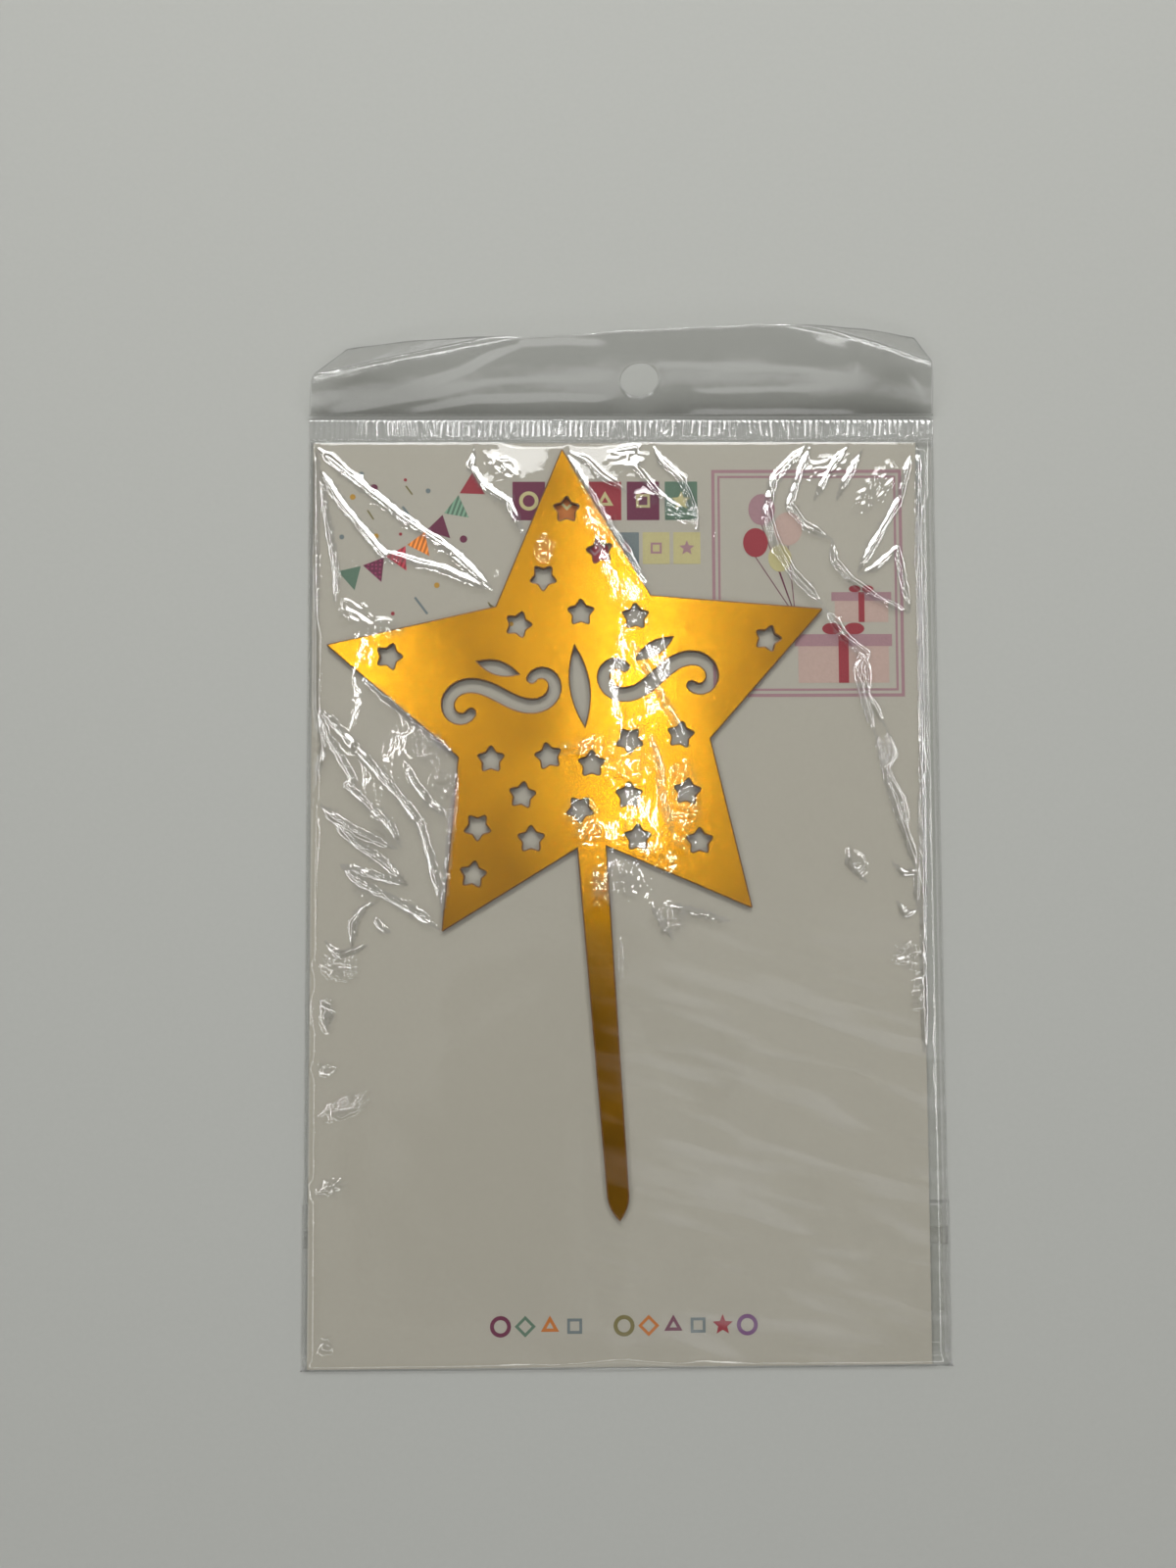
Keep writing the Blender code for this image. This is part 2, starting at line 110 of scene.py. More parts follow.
# Creases of the front film: half width, and the points they run through
CREASES = (
    (1.0, ((-66.0, 84.0), (-59.0, 78.0), (-47.0, 68.2), (-36.8, 61.2), (-27.8, 52.5))),
    (0.9, ((-64.9, 79.0), (-61.3, 72.7), (-52.0, 61.3), (-48.5, 57.7))),
    (0.8, ((-52.0, 61.3), (-44.9, 58.9), (-38.4, 57.2), (-28.0, 52.5))),
    (0.7, ((-65.1, 79.0), (-63.8, 71.0), (-61.2, 56.4), (-61.6, 50.0))),
    (0.8, ((-31.8, 84.0), (-32.6, 79.3), (-29.5, 75.0), (-24.4, 71.4), (-21.1, 64.1))),
    (0.8, ((-11.6, 82.4), (-7.6, 80.5), (-4.5, 77.3), (1.0, 73.7))),
    (0.7, ((-12.0, 82.2), (-7.4, 74.1), (-2.2, 65.6), (5.0, 54.0))),
    (0.7, ((-3.2, 82.6), (3.1, 83.7), (2.9, 79.2), (6.9, 74.3), (11.0, 71.0))),
    (0.8, ((6.5, 84.3), (8.4, 80.7), (12.8, 76.6), (15.0, 70.9), (16.2, 65.3))),
    (0.9, ((39.8, 84.2), (32.6, 76.6), (31.0, 70.0), (33.2, 62.1), (36.5, 55.8), (42.7, 49.0))),
    (0.8, ((40.7, 84.0), (38.3, 78.1), (35.8, 71.0), (39.2, 66.4), (45.0, 63.4))),
    (0.8, ((49.1, 84.2), (45.3, 79.6), (41.1, 71.9))),
    (0.7, ((52.1, 83.4), (48.0, 76.1), (46.0, 71.9))),
    (0.8, ((62.4, 82.0), (59.5, 71.9), (54.5, 63.4), (50.2, 56.1))),
    (0.8, ((45.0, 63.4), (45.4, 58.7), (48.7, 54.7), (54.3, 50.8), (61.2, 47.4))),
    (0.7, ((50.6, 55.7), (54.4, 57.6), (58.9, 61.6), (60.2, 53.8), (61.4, 47.5))),
    (0.8, ((42.7, 48.6), (47.4, 42.2), (52.2, 38.6), (49.8, 35.9), (51.2, 29.6), (53.4, 21.8))),
    (0.8, ((53.4, 21.8), (55.2, 17.0), (56.1, 11.8), (58.3, 4.5), (60.5, -2.1), (62.2, -7.7))),
    (0.7, ((42.7, 48.3), (49.3, 40.1), (51.9, 36.3), (52.0, 30.0), (55.9, 22.9))),
    (0.7, ((55.9, 22.9), (57.5, 17.0), (55.5, 14.1), (59.0, 8.0), (60.3, 0.8))),
    (0.7, ((56.4, -5.4), (59.1, -8.1), (62.2, -7.9), (61.9, -12.5), (62.1, -15.8))),
    (0.7, ((62.1, -15.8), (59.4, -16.8), (57.5, -13.9))),
    (0.7, ((47.6, -2.1), (47.3, -5.8), (51.4, -10.1))),
    (0.7, ((5.4, -14.0), (10.1, -22.1))),
    (0.7, ((7.6, -14.2), (22.1, -18.0))),
    (0.7, ((1.8, 41.7), (6.1, 33.5), (8.4, 29.3), (12.3, 22.0), (13.3, 18.2))),
    (0.7, ((5.6, 22.0), (7.7, 14.3), (8.2, 6.8), (10.6, -0.4))),
    (0.9, ((-64.7, 27.5), (-54.1, 16.0), (-48.3, 9.6), (-43.1, 3.1), (-40.4, -6.4), (-38.8, -13.2))),
    (0.8, ((-64.7, 27.5), (-63.2, 22.3), (-57.2, 12.3), (-58.4, 11.0), (-49.3, 2.3), (-47.0, -2.2))),
    (0.9, ((-64.4, 7.1), (-61.9, 4.6), (-55.5, 0.5), (-47.8, -2.6))),
    (0.8, ((-61.9, 4.2), (-57.3, -0.9), (-50.7, -5.3), (-46.0, -9.7))),
    (0.8, ((-60.0, -5.7), (-55.5, -7.3), (-49.9, -9.0), (-45.6, -10.1))),
    (0.9, ((-60.0, -5.9), (-55.4, -10.0), (-50.7, -12.3), (-44.1, -15.8), (-38.8, -19.5))),
    (0.8, ((-57.6, -24.0), (-57.2, -18.0), (-55.0, -14.7), (-52.1, -13.7))),
    (0.7, ((-52.9, -16.6), (-51.3, -19.1), (-49.2, -20.1))),
    (0.8, ((-46.3, 16.2), (-44.6, 11.8), (-41.3, 7.5), (-36.5, 3.7))),
    (0.8, ((-63.4, -21.7), (-60.3, -24.7), (-54.1, -22.7))),
    (0.8, ((-64.3, -33.9), (-62.3, -36.9), (-62.9, -40.0))),
    (0.6, ((-65.7, 84.0), (-65.5, 53.1), (-65.4, 27.5), (-63.6, 19.6), (-65.2, 11.3))),
    (0.6, ((63.9, 84.0), (63.5, 61.2), (63.6, 31.6), (63.2, -10.0), (62.9, -46.0))),
    (0.5, ((-55.4, 33.9), (-45.0, 25.0), (-35.6, 17.0))),
    (0.5, ((-35.2, 14.0), (-36.6, 1.0), (-38.6, -17.0))),
    (0.6, ((-6.8, -6.6), (-5.4, -10.7), (-6.6, -14.8))),
    (0.6, ((-3.3, -5.5), (-4.1, -10.7), (-2.9, -15.8))),
)

# Crumpled patches: centre, half sizes, turn in degrees, height. The one without height
# only makes the mesh finer where the film comes down round the stick
CRUMPLES = (
    (-57.0, 47.5, 5.5, 3.0, -35, 0.40),
    (-50.0, 44.5, 5.0, 2.0, -20, 0.30),
    (-25.9, 79.7, 5.0, 2.5, -35, 0.40),
    (1.0, 81.0, 5.0, 2.5, 0, 0.35),
    (5.0, 72.4, 3.0, 2.5, 0, 0.35),
    (11.4, 70.0, 4.0, 2.0, -40, 0.35),
    (54.3, 74.2, 8.0, 3.2, 50, 0.45),
    (44.0, 79.0, 7.0, 3.0, 20, 0.25),
    (-41.9, 18.5, 5.0, 3.5, -40, 0.40),
    (-38.4, 11.2, 3.0, 3.5, 0, 0.35),
    (-16.9, 61.4, 2.2, 3.8, 0, 0.35),
    (2.9, 47.0, 3.0, 3.0, 0, 0.35),
    (-9.8, 4.8, 4.0, 3.5, 0, 0.30),
    (0.6, 17.0, 6.0, 8.0, 0, 0.28),
    (12.9, 8.0, 4.0, 9.0, 0, 0.32),
    (-9.0, 18.5, 6.0, 2.2, 0, 0.25),
    (-7.8, 0.7, 4.0, 3.0, 0, 0.30),
    (2.6, 0.6, 4.0, 3.0, 0, 0.30),
    (12.9, -1.5, 3.5, 2.5, 0, 0.32),
    (-62.8, -48.5, 2.2, 1.8, 0, 0.75),
    (-58.7, -56.2, 6.0, 2.6, 25, 0.85),
    (-61.6, -72.7, 3.5, 2.2, 20, 0.75),
    (-62.5, -105.1, 1.6, 2.2, 0, 0.60),
    (59.5, -25.4, 3.4, 3.4, 0, 0.90),
    (49.2, -5.8, 2.2, 3.6, 25, 0.70),
    (-5.4, -10.7, 2.6, 4.5, 0, 0.35),
    (10.2, -17.4, 3.0, 3.5, 30, 0.35),
    (-1.0, -26.0, 0.9, 4.5, 0, 0.60),
    (0.8, -9.8, 3.2, 3.8, 20, 0.40),
    (-60.0, -27.5, 5.0, 3.2, -10, 0.80),
    (-62.8, -37.0, 2.0, 4.5, 0, 0.70),
    (-4.0, -108.6, 17.0, 1.6, 0, 0.0),
    (61.8, -33.0, 1.8, 6.0, 0, 0.75),
    (-50.5, 1.0, 5.0, 2.5, -40, 0.20),
    (-55.0, -11.5, 4.0, 1.8, -30, 0.20),
)

# Slope of a crease's flanks, at its foot and at its top
CREASE_FOOT = math.tan(math.radians(15))
CREASE_TOP = math.tan(math.radians(26))

# How far a crease wanders from its line, how much its width swells, the most that its ends
# fade over, and how far past its foot the film is still whiter
CREASE_WANDER = 0.25
CREASE_SWELL = 0.35
CREASE_FADE = 4.0
CREASE_MARGIN = 0.15

# Folds of a crumpled patch: how many to the millimetre, how far they are drawn out, how
# deep they go, their height as a share, and how white they are beside a crease
FOLD_SCALE = 0.75
FOLD_STRETCH = 0.45
FOLD_DEPTH = 2.2
FOLD_CREST = 0.48
FOLD_SHARE = 0.4

# How fast a patch rises from its rim, and how ragged that rim is
PATCH_RISE = 2.5
PATCH_RAGGED = 0.8

# How far from its head or foot, a crease or a crumpled patch the squares of the film are
# halved, each time, and how far in the head and the foot reach by themselves
REFINE_REACHES = (2.0, 0.9, 0.05)
EDGE_WIDTH = 0.35

# Header: slope of its raised middle at the left and right end, how far the slope swings
# between the seal and the top and the reach that this takes, its length at places across,
# and how far past its hinge it starts
HEADER_TILTS = (math.radians(46), math.radians(45))
HEADER_SWING = math.radians(3)
HEADER_SWING_REACH = 10.0
HEADER_LENGTHS = ((0.0, 19.0), (46.0, 17.4), (94.0, 19.9))
HEADER_START = 0.1

# Its bent corners: distance from that side, how far up the fold runs there, and the width
# of the fold; the slope beyond the fold; and how far the free corner is drawn in
LEFT_FOLD = ((0.0, 8.0, 1.7), (46.0, 17.4, 0.5))
LEFT_CORNER_SLOPE = math.radians(-23)
LEFT_CORNER_PULL = 5.2
RIGHT_FOLD = ((0.0, 11.0, 1.0), (8.0, 12.8, 2.0), (24.0, 16.6, 2.4), (37.0, 19.9, 0.6))
RIGHT_CORNER_SLOPE = math.radians(-28)
RIGHT_CORNER_PULL = 1.2
FOLD_SLOPE = math.radians(33)
FOLD_EDGE = 1.2

# How far each millimetre up either end leans in, and how far from the end that fades out
END_LEAN = 0.2
END_LEAN_REACH = 25.0

# Long shallow ribbons of the header: half width, and points from its left end and hinge
RIBBON_SLOPE = math.radians(53)
RIBBON_EDGE = 0.6
RIBBON_FADE = 7.0
RIBBONS = (
    (1.0, ((2.0, 0.3), (22.0, 6.2), (33.8, 10.4), (40.6, 14.0), (46.4, 16.4), (56.7, 16.7), (67.0, 15.8))),
    (0.5, ((4.5, 0.4), (22.0, 4.0), (39.3, 7.8), (50.5, 8.5), (65.6, 8.2))),
    (0.9, ((18.4, 0.7), (35.8, 3.8), (53.2, 4.2), (67.0, 3.8))),
    (0.5, ((71.8, 11.6), (92.8, 11.1), (106.6, 10.4), (117.0, 8.2), (106.6, 6.2), (79.5, 5.6))),
    (0.8, ((79.5, 0.8), (121.0, 0.8))),
    (0.4, ((127.0, 12.2), (131.5, 7.0), (134.3, 1.2))),
)

# Its flat sheet before it is bent: length, squares, and the steps in which it is bent
HEADER_FLAT = 20.0
HEADER_SQUARE = 0.5
HEADER_STEPS = 80

# Its slow waves: height, waves to the millimetre, how much closer they are up the header
# and seed, and how far up they reach their full height
HEADER_SWAYS = ((0.35, 0.07, 1.6, 0.0), (0.03, 0.4, 1.0, 3.0))
HEADER_SWAY_REACH = 4.0

# Its hang hole, seen from the middle of the hinge
HANG_HOLE_RADIUS = 4.0
HANG_HOLE_RISE = 8.7
HANG_HOLE_ASIDE = 3.4

# Bump of all the clear film: waves to the metre and height
FILM_GRAIN = 420
FILM_RIPPLE = 0.12 * MM

# Painted sheen on the front film: faint white streaks that stand in for light reflected off its
# slow waves. Their share, turn, stretch and waves to the metre, the grain values between which
# they show, and the places across and along between which they come up
SHEEN_STREAK_SHARE = 0.035
SHEEN_STREAK_TURN = math.radians(-15)
SHEEN_STREAK_STRETCH = (5.0, 1.0, 1.0)
SHEEN_STREAK_GRAIN = 230
SHEEN_STREAK_VALUES = (0.5, 0.66)
SHEEN_STREAK_ACROSS = (-12 * MM, 15 * MM)
SHEEN_STREAK_ALONG = (-40 * MM, -12 * MM)

# Heat seal: pitch of its ribs, the share of the pitch over which a rib rises, the slope of
# that rise at the left and right end, and the steps of its mesh along and up a rib
RIB_PITCH = 1.154
RIB_RISE = 0.65
RIB_SLOPES = (math.radians(12.4), math.radians(25.6))
RIB_STEPS = (10, 11)

# How far the ribs lean and wander, how uneven they are, how short their ends are, and the
# share of their height at the left end, which grows in full over so many millimetres
RIB_LEAN = 0.25
RIB_WANDER = 0.35
RIB_UNEVEN = 0.12
RIB_ENDS = 0.6
RIB_LEFT_SHARE = 0.5
RIB_FULL_REACH = 60.0

# Blisters of the seal, with their half sizes, height, and the place and width of their rim
BLISTERS = ((-13.7, 88.7), (9.2, 88.7))
BLISTER_SIZE = (1.5, 2.5)
BLISTER_HEIGHT = 0.3
BLISTER_RIM = (0.8, 0.2)

# Camera, fitted to the pack's corners
CAMERA_PLACE = (-10.33, -1.29, 251.35)
CAMERA_TURN = (2.84, -0.59, -0.26)
CAMERA_LENS = 27.05


def linear(red, green, blue):
    """A colour as seen on a screen, in 0 to 255, as the renderer's numbers."""
    return tuple(((value / 255 + 0.055) / 1.055) ** 2.4 for value in (red, green, blue))


def colour_property(name, description, default):
    """A colour that the user can change."""
    return FloatVectorProperty(
        name=name, description=description, default=default, subtype="COLOR", min=0.0, max=1.0
    )


def length_property(name, description, default):
    """A length that the user can change, given in millimetres."""
    return FloatProperty(
        name=name, description=description, default=default * MM, unit="LENGTH", precision=5
    )


def share_property(name, description, default):
    """A share from 0 to 1 that the user can change."""
    return FloatProperty(
        name=name, description=description, default=default, subtype="FACTOR", min=0.0, max=1.0
    )


def level_property(name, description, default):
    """A level from 0 up that the user can change."""
    return FloatProperty(name=name, description=description, default=default, min=0.0)


class FilmLooks(PropertyGroup):
    """The clear film of the bag."""

    thickness: length_property("Thickness", "Thickness of one ply", 0.08)
    spacing: length_property("Spacing", "Distance between points where the film is smooth", 2.4)
    sway: length_property("Sway", "Height of the slow waves in the front", 0.55)
    tint: colour_property("Tint", "What the film lets through", (0.985, 0.985, 0.98))
    haze: share_property("Haze", "Roughness of the front", 0.035)
    shine: level_property("Shine", "Mirror strength, as a multiple of one bare surface", 1.7)
    whitening: share_property("Whitening", "Mirror strength that a crease adds", 0.26)


class GoldLooks(PropertyGroup):
    """The cut gold sheet."""

    face: colour_property("Face", "Colour of the gold face", (0.82, 0.39, 0.010))
    edge: colour_property("Edge", "Colour of the burnt cut edge", (0.13, 0.055, 0.012))
    rim: length_property("Rim", "Width of the burnt line round each cut", 0.28)
    haze: share_property("Haze", "Roughness of the gold", 0.19)


class CardLooks(PropertyGroup):
    """The backing card and its print."""

    paper: colour_property("Paper", "Colour of the card", linear(168, 164, 152))
    maroon: colour_property("Maroon", "Print colour", linear(98, 35, 62))
    red: colour_property("Red", "Print colour", linear(140, 42, 52))
    orange: colour_property("Orange", "Print colour", linear(178, 104, 40))
    mustard: colour_property("Mustard", "Print colour", linear(170, 130, 45))
    green: colour_property("Green", "Print colour", linear(84, 110, 92))
    slate: colour_property("Slate", "Print colour", linear(105, 115, 116))
    olive: colour_property("Olive", "Print colour", linear(112, 104, 62))
    khaki: colour_property("Khaki", "Print colour", linear(178, 170, 122))
    rose: colour_property("Rose", "Print colour", linear(152, 118, 124))
    blush: colour_property("Blush", "Print colour", linear(176, 152, 142))
    plum: colour_property("Plum", "Print colour", linear(108, 70, 112))


class StageLooks(PropertyGroup):
    """The floor and the lamps."""

    floor: colour_property("Floor", "Colour of the floor", linear(167, 168, 163))
    tubes: level_property("Tubes", "Level of the tube lamps", 45.0)
    window: level_property("Window", "Level of the lamp at the head", 7.3)
    ring: level_property("Ring", "Level of the bright ring in the sky", 8.0)
    overhead: level_property("Overhead", "Sky level overhead", 0.36)
    horizon: level_property("Horizon", "Sky level at the horizon", 1.0)


def add_node(tree, kind, inputs=None, **settings):
    """A shader node with its settings and plain inputs."""
    made = tree.nodes.new(kind)
    for name, value in settings.items():
        setattr(made, name, value)
    for name, value in (inputs or {}).items():
        made.inputs[name].default_value = value
    return made


def new_material(name):
    """An empty node material, its tree and its output."""
    material = bpy.data.materials.new(name)
    material.use_nodes = True
    tree = material.node_tree
    tree.nodes.clear()
    output = add_node(tree, "ShaderNodeOutputMaterial")
    return material, tree, output


def place_in(tree, scale=(1, 1, 1), turn=0.0, kind="POINT"):
    """Object coordinates, scaled and turned about Z; as a texture, a pattern is stretched so."""
    coordinates = add_node(tree, "ShaderNodeTexCoord")
    mapping = add_node(tree, "ShaderNodeMapping", vector_type=kind)
    mapping.inputs["Rotation"].default_value = (0, 0, turn)
    mapping.inputs["Scale"].default_value = scale
    tree.links.new(coordinates.outputs["Object"], mapping.inputs["Vector"])
    return mapping.outputs["Vector"]


def grain(tree, vector, scale, detail=3.0):
    """A noise value of so many waves to the metre."""
    made = add_node(tree, "ShaderNodeTexNoise", {"Scale": scale, "Detail": detail})
    tree.links.new(vector, made.inputs["Vector"])
    return made.outputs["Fac"]


def spread(tree, value, low, high, start=0.3, end=0.7):
    """A value from start to end, spread over low to high."""
    made = add_node(tree, "ShaderNodeMapRange")
    for name, number in zip(("From Min", "From Max", "To Min", "To Max"), (start, end, low, high)):
        made.inputs[name].default_value = number
    tree.links.new(value, made.inputs["Value"])
    return made.outputs["Result"]


def mixed_colour(tree, share, first, second):
    """A colour between two, by a share."""
    made = add_node(tree, "ShaderNodeMix", data_type="RGBA")
    tree.links.new(share, made.inputs["Factor"])
    made.inputs["A"].default_value = (*first, 1)
    made.inputs["B"].default_value = (*second, 1)
    return made.outputs["Result"]


def bumped(tree, height, distance, strength=1.0, under=None):
    """A normal raised by a height value, over another normal where one is given."""
    made = add_node(tree, "ShaderNodeBump", {"Distance": distance, "Strength": strength})
    tree.links.new(height, made.inputs["Height"])
    if under:
        tree.links.new(under, made.inputs["Normal"])
    return made.outputs["Normal"]


def worked_out(tree, operation, *values, clamp=False):
    """A value worked out from others, which are sockets or plain numbers."""
    made = add_node(tree, "ShaderNodeMath", operation=operation, use_clamp=clamp)
    for slot, value in zip(made.inputs, values):
        if isinstance(value, bpy.types.NodeSocket):
            tree.links.new(value, slot)
        else:
            slot.default_value = value
    return made.outputs[0]


def mixed_shader(tree, share, first, second):
    """A shader between two, by a share."""
    made = add_node(tree, "ShaderNodeMixShader")
    tree.links.new(share, made.inputs["Fac"])
    tree.links.new(first, made.inputs[1])
    tree.links.new(second, made.inputs[2])
    return made.outputs["Shader"]


def tinted(colour, share):
    """A colour made lighter or darker by a share."""
    return tuple(min(1.0, value * share) for value in colour)


def grained(name, colour, tints, scale, detail, inputs):
    """A material whose colour wavers between two tints of one colour, with its inner parts."""
    material, tree, output = new_material(name)
    shader = add_node(tree, "ShaderNodeBsdfPrincipled", inputs)
    cloud = grain(tree, place_in(tree), scale, detail)
    mixed = mixed_colour(tree, cloud, *(tinted(colour, share) for share in tints))
    tree.links.new(mixed, shader.inputs["Base Color"])
    tree.links.new(shader.outputs["BSDF"], output.inputs["Surface"])
    return material, tree, shader, cloud


def gold_face():
    """Mirror gold with a fine grain and faint hairlines."""
    looks = bpy.context.scene.topper_gold
    inputs = {"Metallic": 1.0}
    material, tree, shader, cloud = grained("gold_face", looks.face, (0.94, 1.04), 60, 4, inputs)
    haze = spread(tree, cloud, looks.haze - 0.03, looks.haze + 0.04)
    tree.links.new(haze, shader.inputs["Roughness"])
    speckle = bumped(tree, grain(tree, place_in(tree), 2600, 2), 0.02 * MM, 0.35)
    hairlines = grain(tree, place_in(tree, (1, 0.05, 1), 0.5), 1500, 1)
    tree.links.new(bumped(tree, hairlines, 0.02 * MM, 0.2, speckle), shader.inputs["Normal"])
    return material


def gold_edge():
    """The burnt amber line that the cutter leaves."""
    looks = bpy.context.scene.topper_gold
    inputs = {"Metallic": 0.5, "Roughness": 0.42}
    material, tree, shader, _ = grained("gold_edge", looks.edge, (0.7, 1.5), 700, 3, inputs)
    rough = bumped(tree, grain(tree, place_in(tree), 4000, 1), 0.03 * MM, 0.5)
    tree.links.new(rough, shader.inputs["Normal"])
    return material


def card_paper():
    """Matt card with a faint fibre."""
    looks = bpy.context.scene.topper_card
    inputs = {"Roughness": 0.72, "Specular IOR Level": 0.3}
    material, tree, shader, fibre = grained("card_paper", looks.paper, (0.95, 1.03), 1500, 5, inputs)
    tree.links.new(bumped(tree, fibre, 0.03 * MM, 0.4), shader.inputs["Normal"])
    return material


def floor_matt():
    """Pale matt floor."""
    looks = bpy.context.scene.topper_stage
    inputs = {"Roughness": 0.85, "Specular IOR Level": 0.2}
    return grained("floor_matt", looks.floor, (0.97, 1.02), 900, 4, inputs)[0]


def print_share(tree, pattern):
    """Where the second colour of a patterned ink lies, from 0 to 1."""
    if pattern == "stripes":
        bands = add_node(tree, "ShaderNodeTexWave", {"Scale": 340.0}, bands_direction="X")
        tree.links.new(place_in(tree, turn=0.35), bands.inputs["Vector"])
        return spread(tree, bands.outputs["Fac"], 0.0, 1.0, 0.45, 0.55)
    cells = add_node(tree, "ShaderNodeTexVoronoi", {"Scale": 1150.0, "Randomness": 0.25})
    tree.links.new(place_in(tree), cells.inputs["Vector"])
    return spread(tree, cells.outputs["Distance"], 1.0, 0.0, 0.22, 0.3)


def ink(name, pattern=None):
    """Printed colour from the card's looks, with the paper's tooth showing in it."""
    colour = tuple(getattr(bpy.context.scene.topper_card, name))
    material, tree, output = new_material(f"ink_{name}_{pattern}" if pattern else f"ink_{name}")
    inputs = {"Roughness": 0.6, "Specular IOR Level": 0.3}
    shader = add_node(tree, "ShaderNodeBsdfPrincipled", inputs)
    tooth = grain(tree, place_in(tree), 2600, 2)
    printed = mixed_colour(tree, tooth, tinted(colour, 0.9), tinted(colour, 1.12))
    if pattern:
        second = add_node(tree, "ShaderNodeMix", data_type="RGBA")
        second.inputs["B"].default_value = (*tinted(colour, 2.2), 1)
        tree.links.new(print_share(tree, pattern), second.inputs["Factor"])
        tree.links.new(printed, second.inputs["A"])
        printed = second.outputs["Result"]
    tree.links.new(printed, shader.inputs["Base Color"])
    tree.links.new(shader.outputs["BSDF"], output.inputs["Surface"])
    return material


def painted_sheen_streaks(tree, film):
    """Film with painted sheen: faint white streaks over the lower right of the bag, running down to the
    right, a painted reflection.
    """
    stretched = place_in(tree, SHEEN_STREAK_STRETCH, SHEEN_STREAK_TURN, "TEXTURE")
    streaks = spread(tree, grain(tree, stretched, SHEEN_STREAK_GRAIN, 1.0), 0.0, SHEEN_STREAK_SHARE, *SHEEN_STREAK_VALUES)
    parts = add_node(tree, "ShaderNodeSeparateXYZ")
    tree.links.new(place_in(tree), parts.inputs["Vector"])
    at_right = spread(tree, parts.outputs["X"], 0.0, 1.0, *SHEEN_STREAK_ACROSS)
    low_down = spread(tree, parts.outputs["Y"], 1.0, 0.0, *SHEEN_STREAK_ALONG)
    corner = worked_out(tree, "MULTIPLY", at_right, low_down)
    # White diffuse mixed into the film in streaks: a painted reflection, standing in for sheen off the film's
    # waves
    painted_sheen = add_node(tree, "ShaderNodeBsdfDiffuse", {"Color": (1, 1, 1, 1)})
    share = worked_out(tree, "MULTIPLY", streaks, corner)
    return mixed_shader(tree, share, film, painted_sheen.outputs["BSDF"])


def clear_film(name, roughness=None, tint_share=1.0, crinkle=0.25, extra_shine=0.0, shine_share=1.0):
    """Clear film that mirrors once where a ray comes in and lets the rest through.

    Without a roughness it has the looks of the front, and follows how crumpled its mesh is.
    """
    looks = bpy.context.scene.topper_film
    material, tree, output = new_material(name)
    through = add_node(tree, "ShaderNodeBsdfTransparent")
    through.inputs["Color"].default_value = (*tinted(looks.tint, tint_share), 1)
    see_through = through.outputs["BSDF"]
    added = extra_shine
    if roughness is None:
        crumpled = add_node(tree, "ShaderNodeAttribute", attribute_name="crumpled").outputs["Fac"]
        added = spread(tree, crumpled, extra_shine, extra_shine + looks.whitening, 0.0, 1.0)
        # The front also gets the painted sheen streaks, a painted reflection over its lower right
        see_through = painted_sheen_streaks(tree, see_through)
    ripple = bumped(tree, grain(tree, place_in(tree), FILM_GRAIN, 3), FILM_RIPPLE, crinkle)
    shine = add_node(tree, "ShaderNodeBsdfGlossy", {"Roughness": roughness or looks.haze})
    mirror = add_node(tree, "ShaderNodeFresnel", {"IOR": 1.5})
    for shader in (shine, mirror):
        tree.links.new(ripple, shader.inputs["Normal"])
    strength = looks.shine * shine_share
    bright = worked_out(tree, "MULTIPLY_ADD", mirror.outputs["Fac"], strength, added)
    side = add_node(tree, "ShaderNodeNewGeometry")
    outside = worked_out(tree, "SUBTRACT", 1.0, side.outputs["Backfacing"])
    share = worked_out(tree, "MULTIPLY", bright, outside, clamp=True)
    surface = mixed_shader(tree, share, see_through, shine.outputs["BSDF"])
    tree.links.new(surface, output.inputs["Surface"])
    return material


def adhesive():
    """Hazy clear glue."""
    material, tree, output = new_material("adhesive_haze")
    through = add_node(tree, "ShaderNodeBsdfTransparent", {"Color": (0.93, 0.93, 0.91, 1)})
    body = add_node(tree, "ShaderNodeBsdfPrincipled", {"Roughness": 0.5})
    cloud = grain(tree, place_in(tree), 500, 3)
    colour = mixed_colour(tree, cloud, (0.55, 0.55, 0.52), (0.68, 0.68, 0.65))
    tree.links.new(colour, body.inputs["Base Color"])
    share = spread(tree, cloud, 0.12, 0.26)
    surface = mixed_shader(tree, share, through.outputs["BSDF"], body.outputs["BSDF"])
    tree.links.new(surface, output.inputs["Surface"])
    return material


def new_piece(name, bm, body, materials, nodes=(), smooth=False):
    """An object of bm, which rides on a body and may stand for CAD nodes."""
    mesh = bpy.data.meshes.new(name)
    bm.normal_update()
    bm.to_mesh(mesh)
    bm.free()
    if smooth:
        mesh.shade_smooth()
    for material in materials:
        mesh.materials.append(material)
    made = bpy.data.objects.new(name, mesh)
    bpy.context.scene.collection.objects.link(made)
    if body:
        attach(made, body)
    if nodes:
        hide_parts(*nodes)
    return made


def thicken(piece, up=True, thickness=None):
    """Gives a sheet its thickness, a film's if none is given, on its upper or its lower side."""
    wall = piece.modifiers.new("Thickness", "SOLIDIFY")
    wall.thickness = thickness or bpy.context.scene.topper_film.thickness
    wall.offset = 1.0 if up else -1.0
    wall.use_even_offset = False


def flat_grid(left, right, low, high, spacing, rows=None):
    """A flat sheet of even squares, or of upright cells where it has so many rows."""
    bm = bmesh.new()
    columns = max(1, round((right - left) / spacing))
    rows = rows or max(1, round((high - low) / spacing))
    bmesh.ops.create_grid(bm, x_segments=columns, y_segments=rows, size=0.5)
    bmesh.ops.scale(bm, vec=(right - left, high - low, 1), verts=bm.verts)
    middle = ((left + right) / 2, (low + high) / 2, 0)
    bmesh.ops.translate(bm, vec=middle, verts=bm.verts)
    return bm


def wave(x, y, scale, seed=0.0):
    """Smooth noise over the pack, in -1 to 1."""
    return noise.noise(Vector((x * scale, y * scale, seed)))


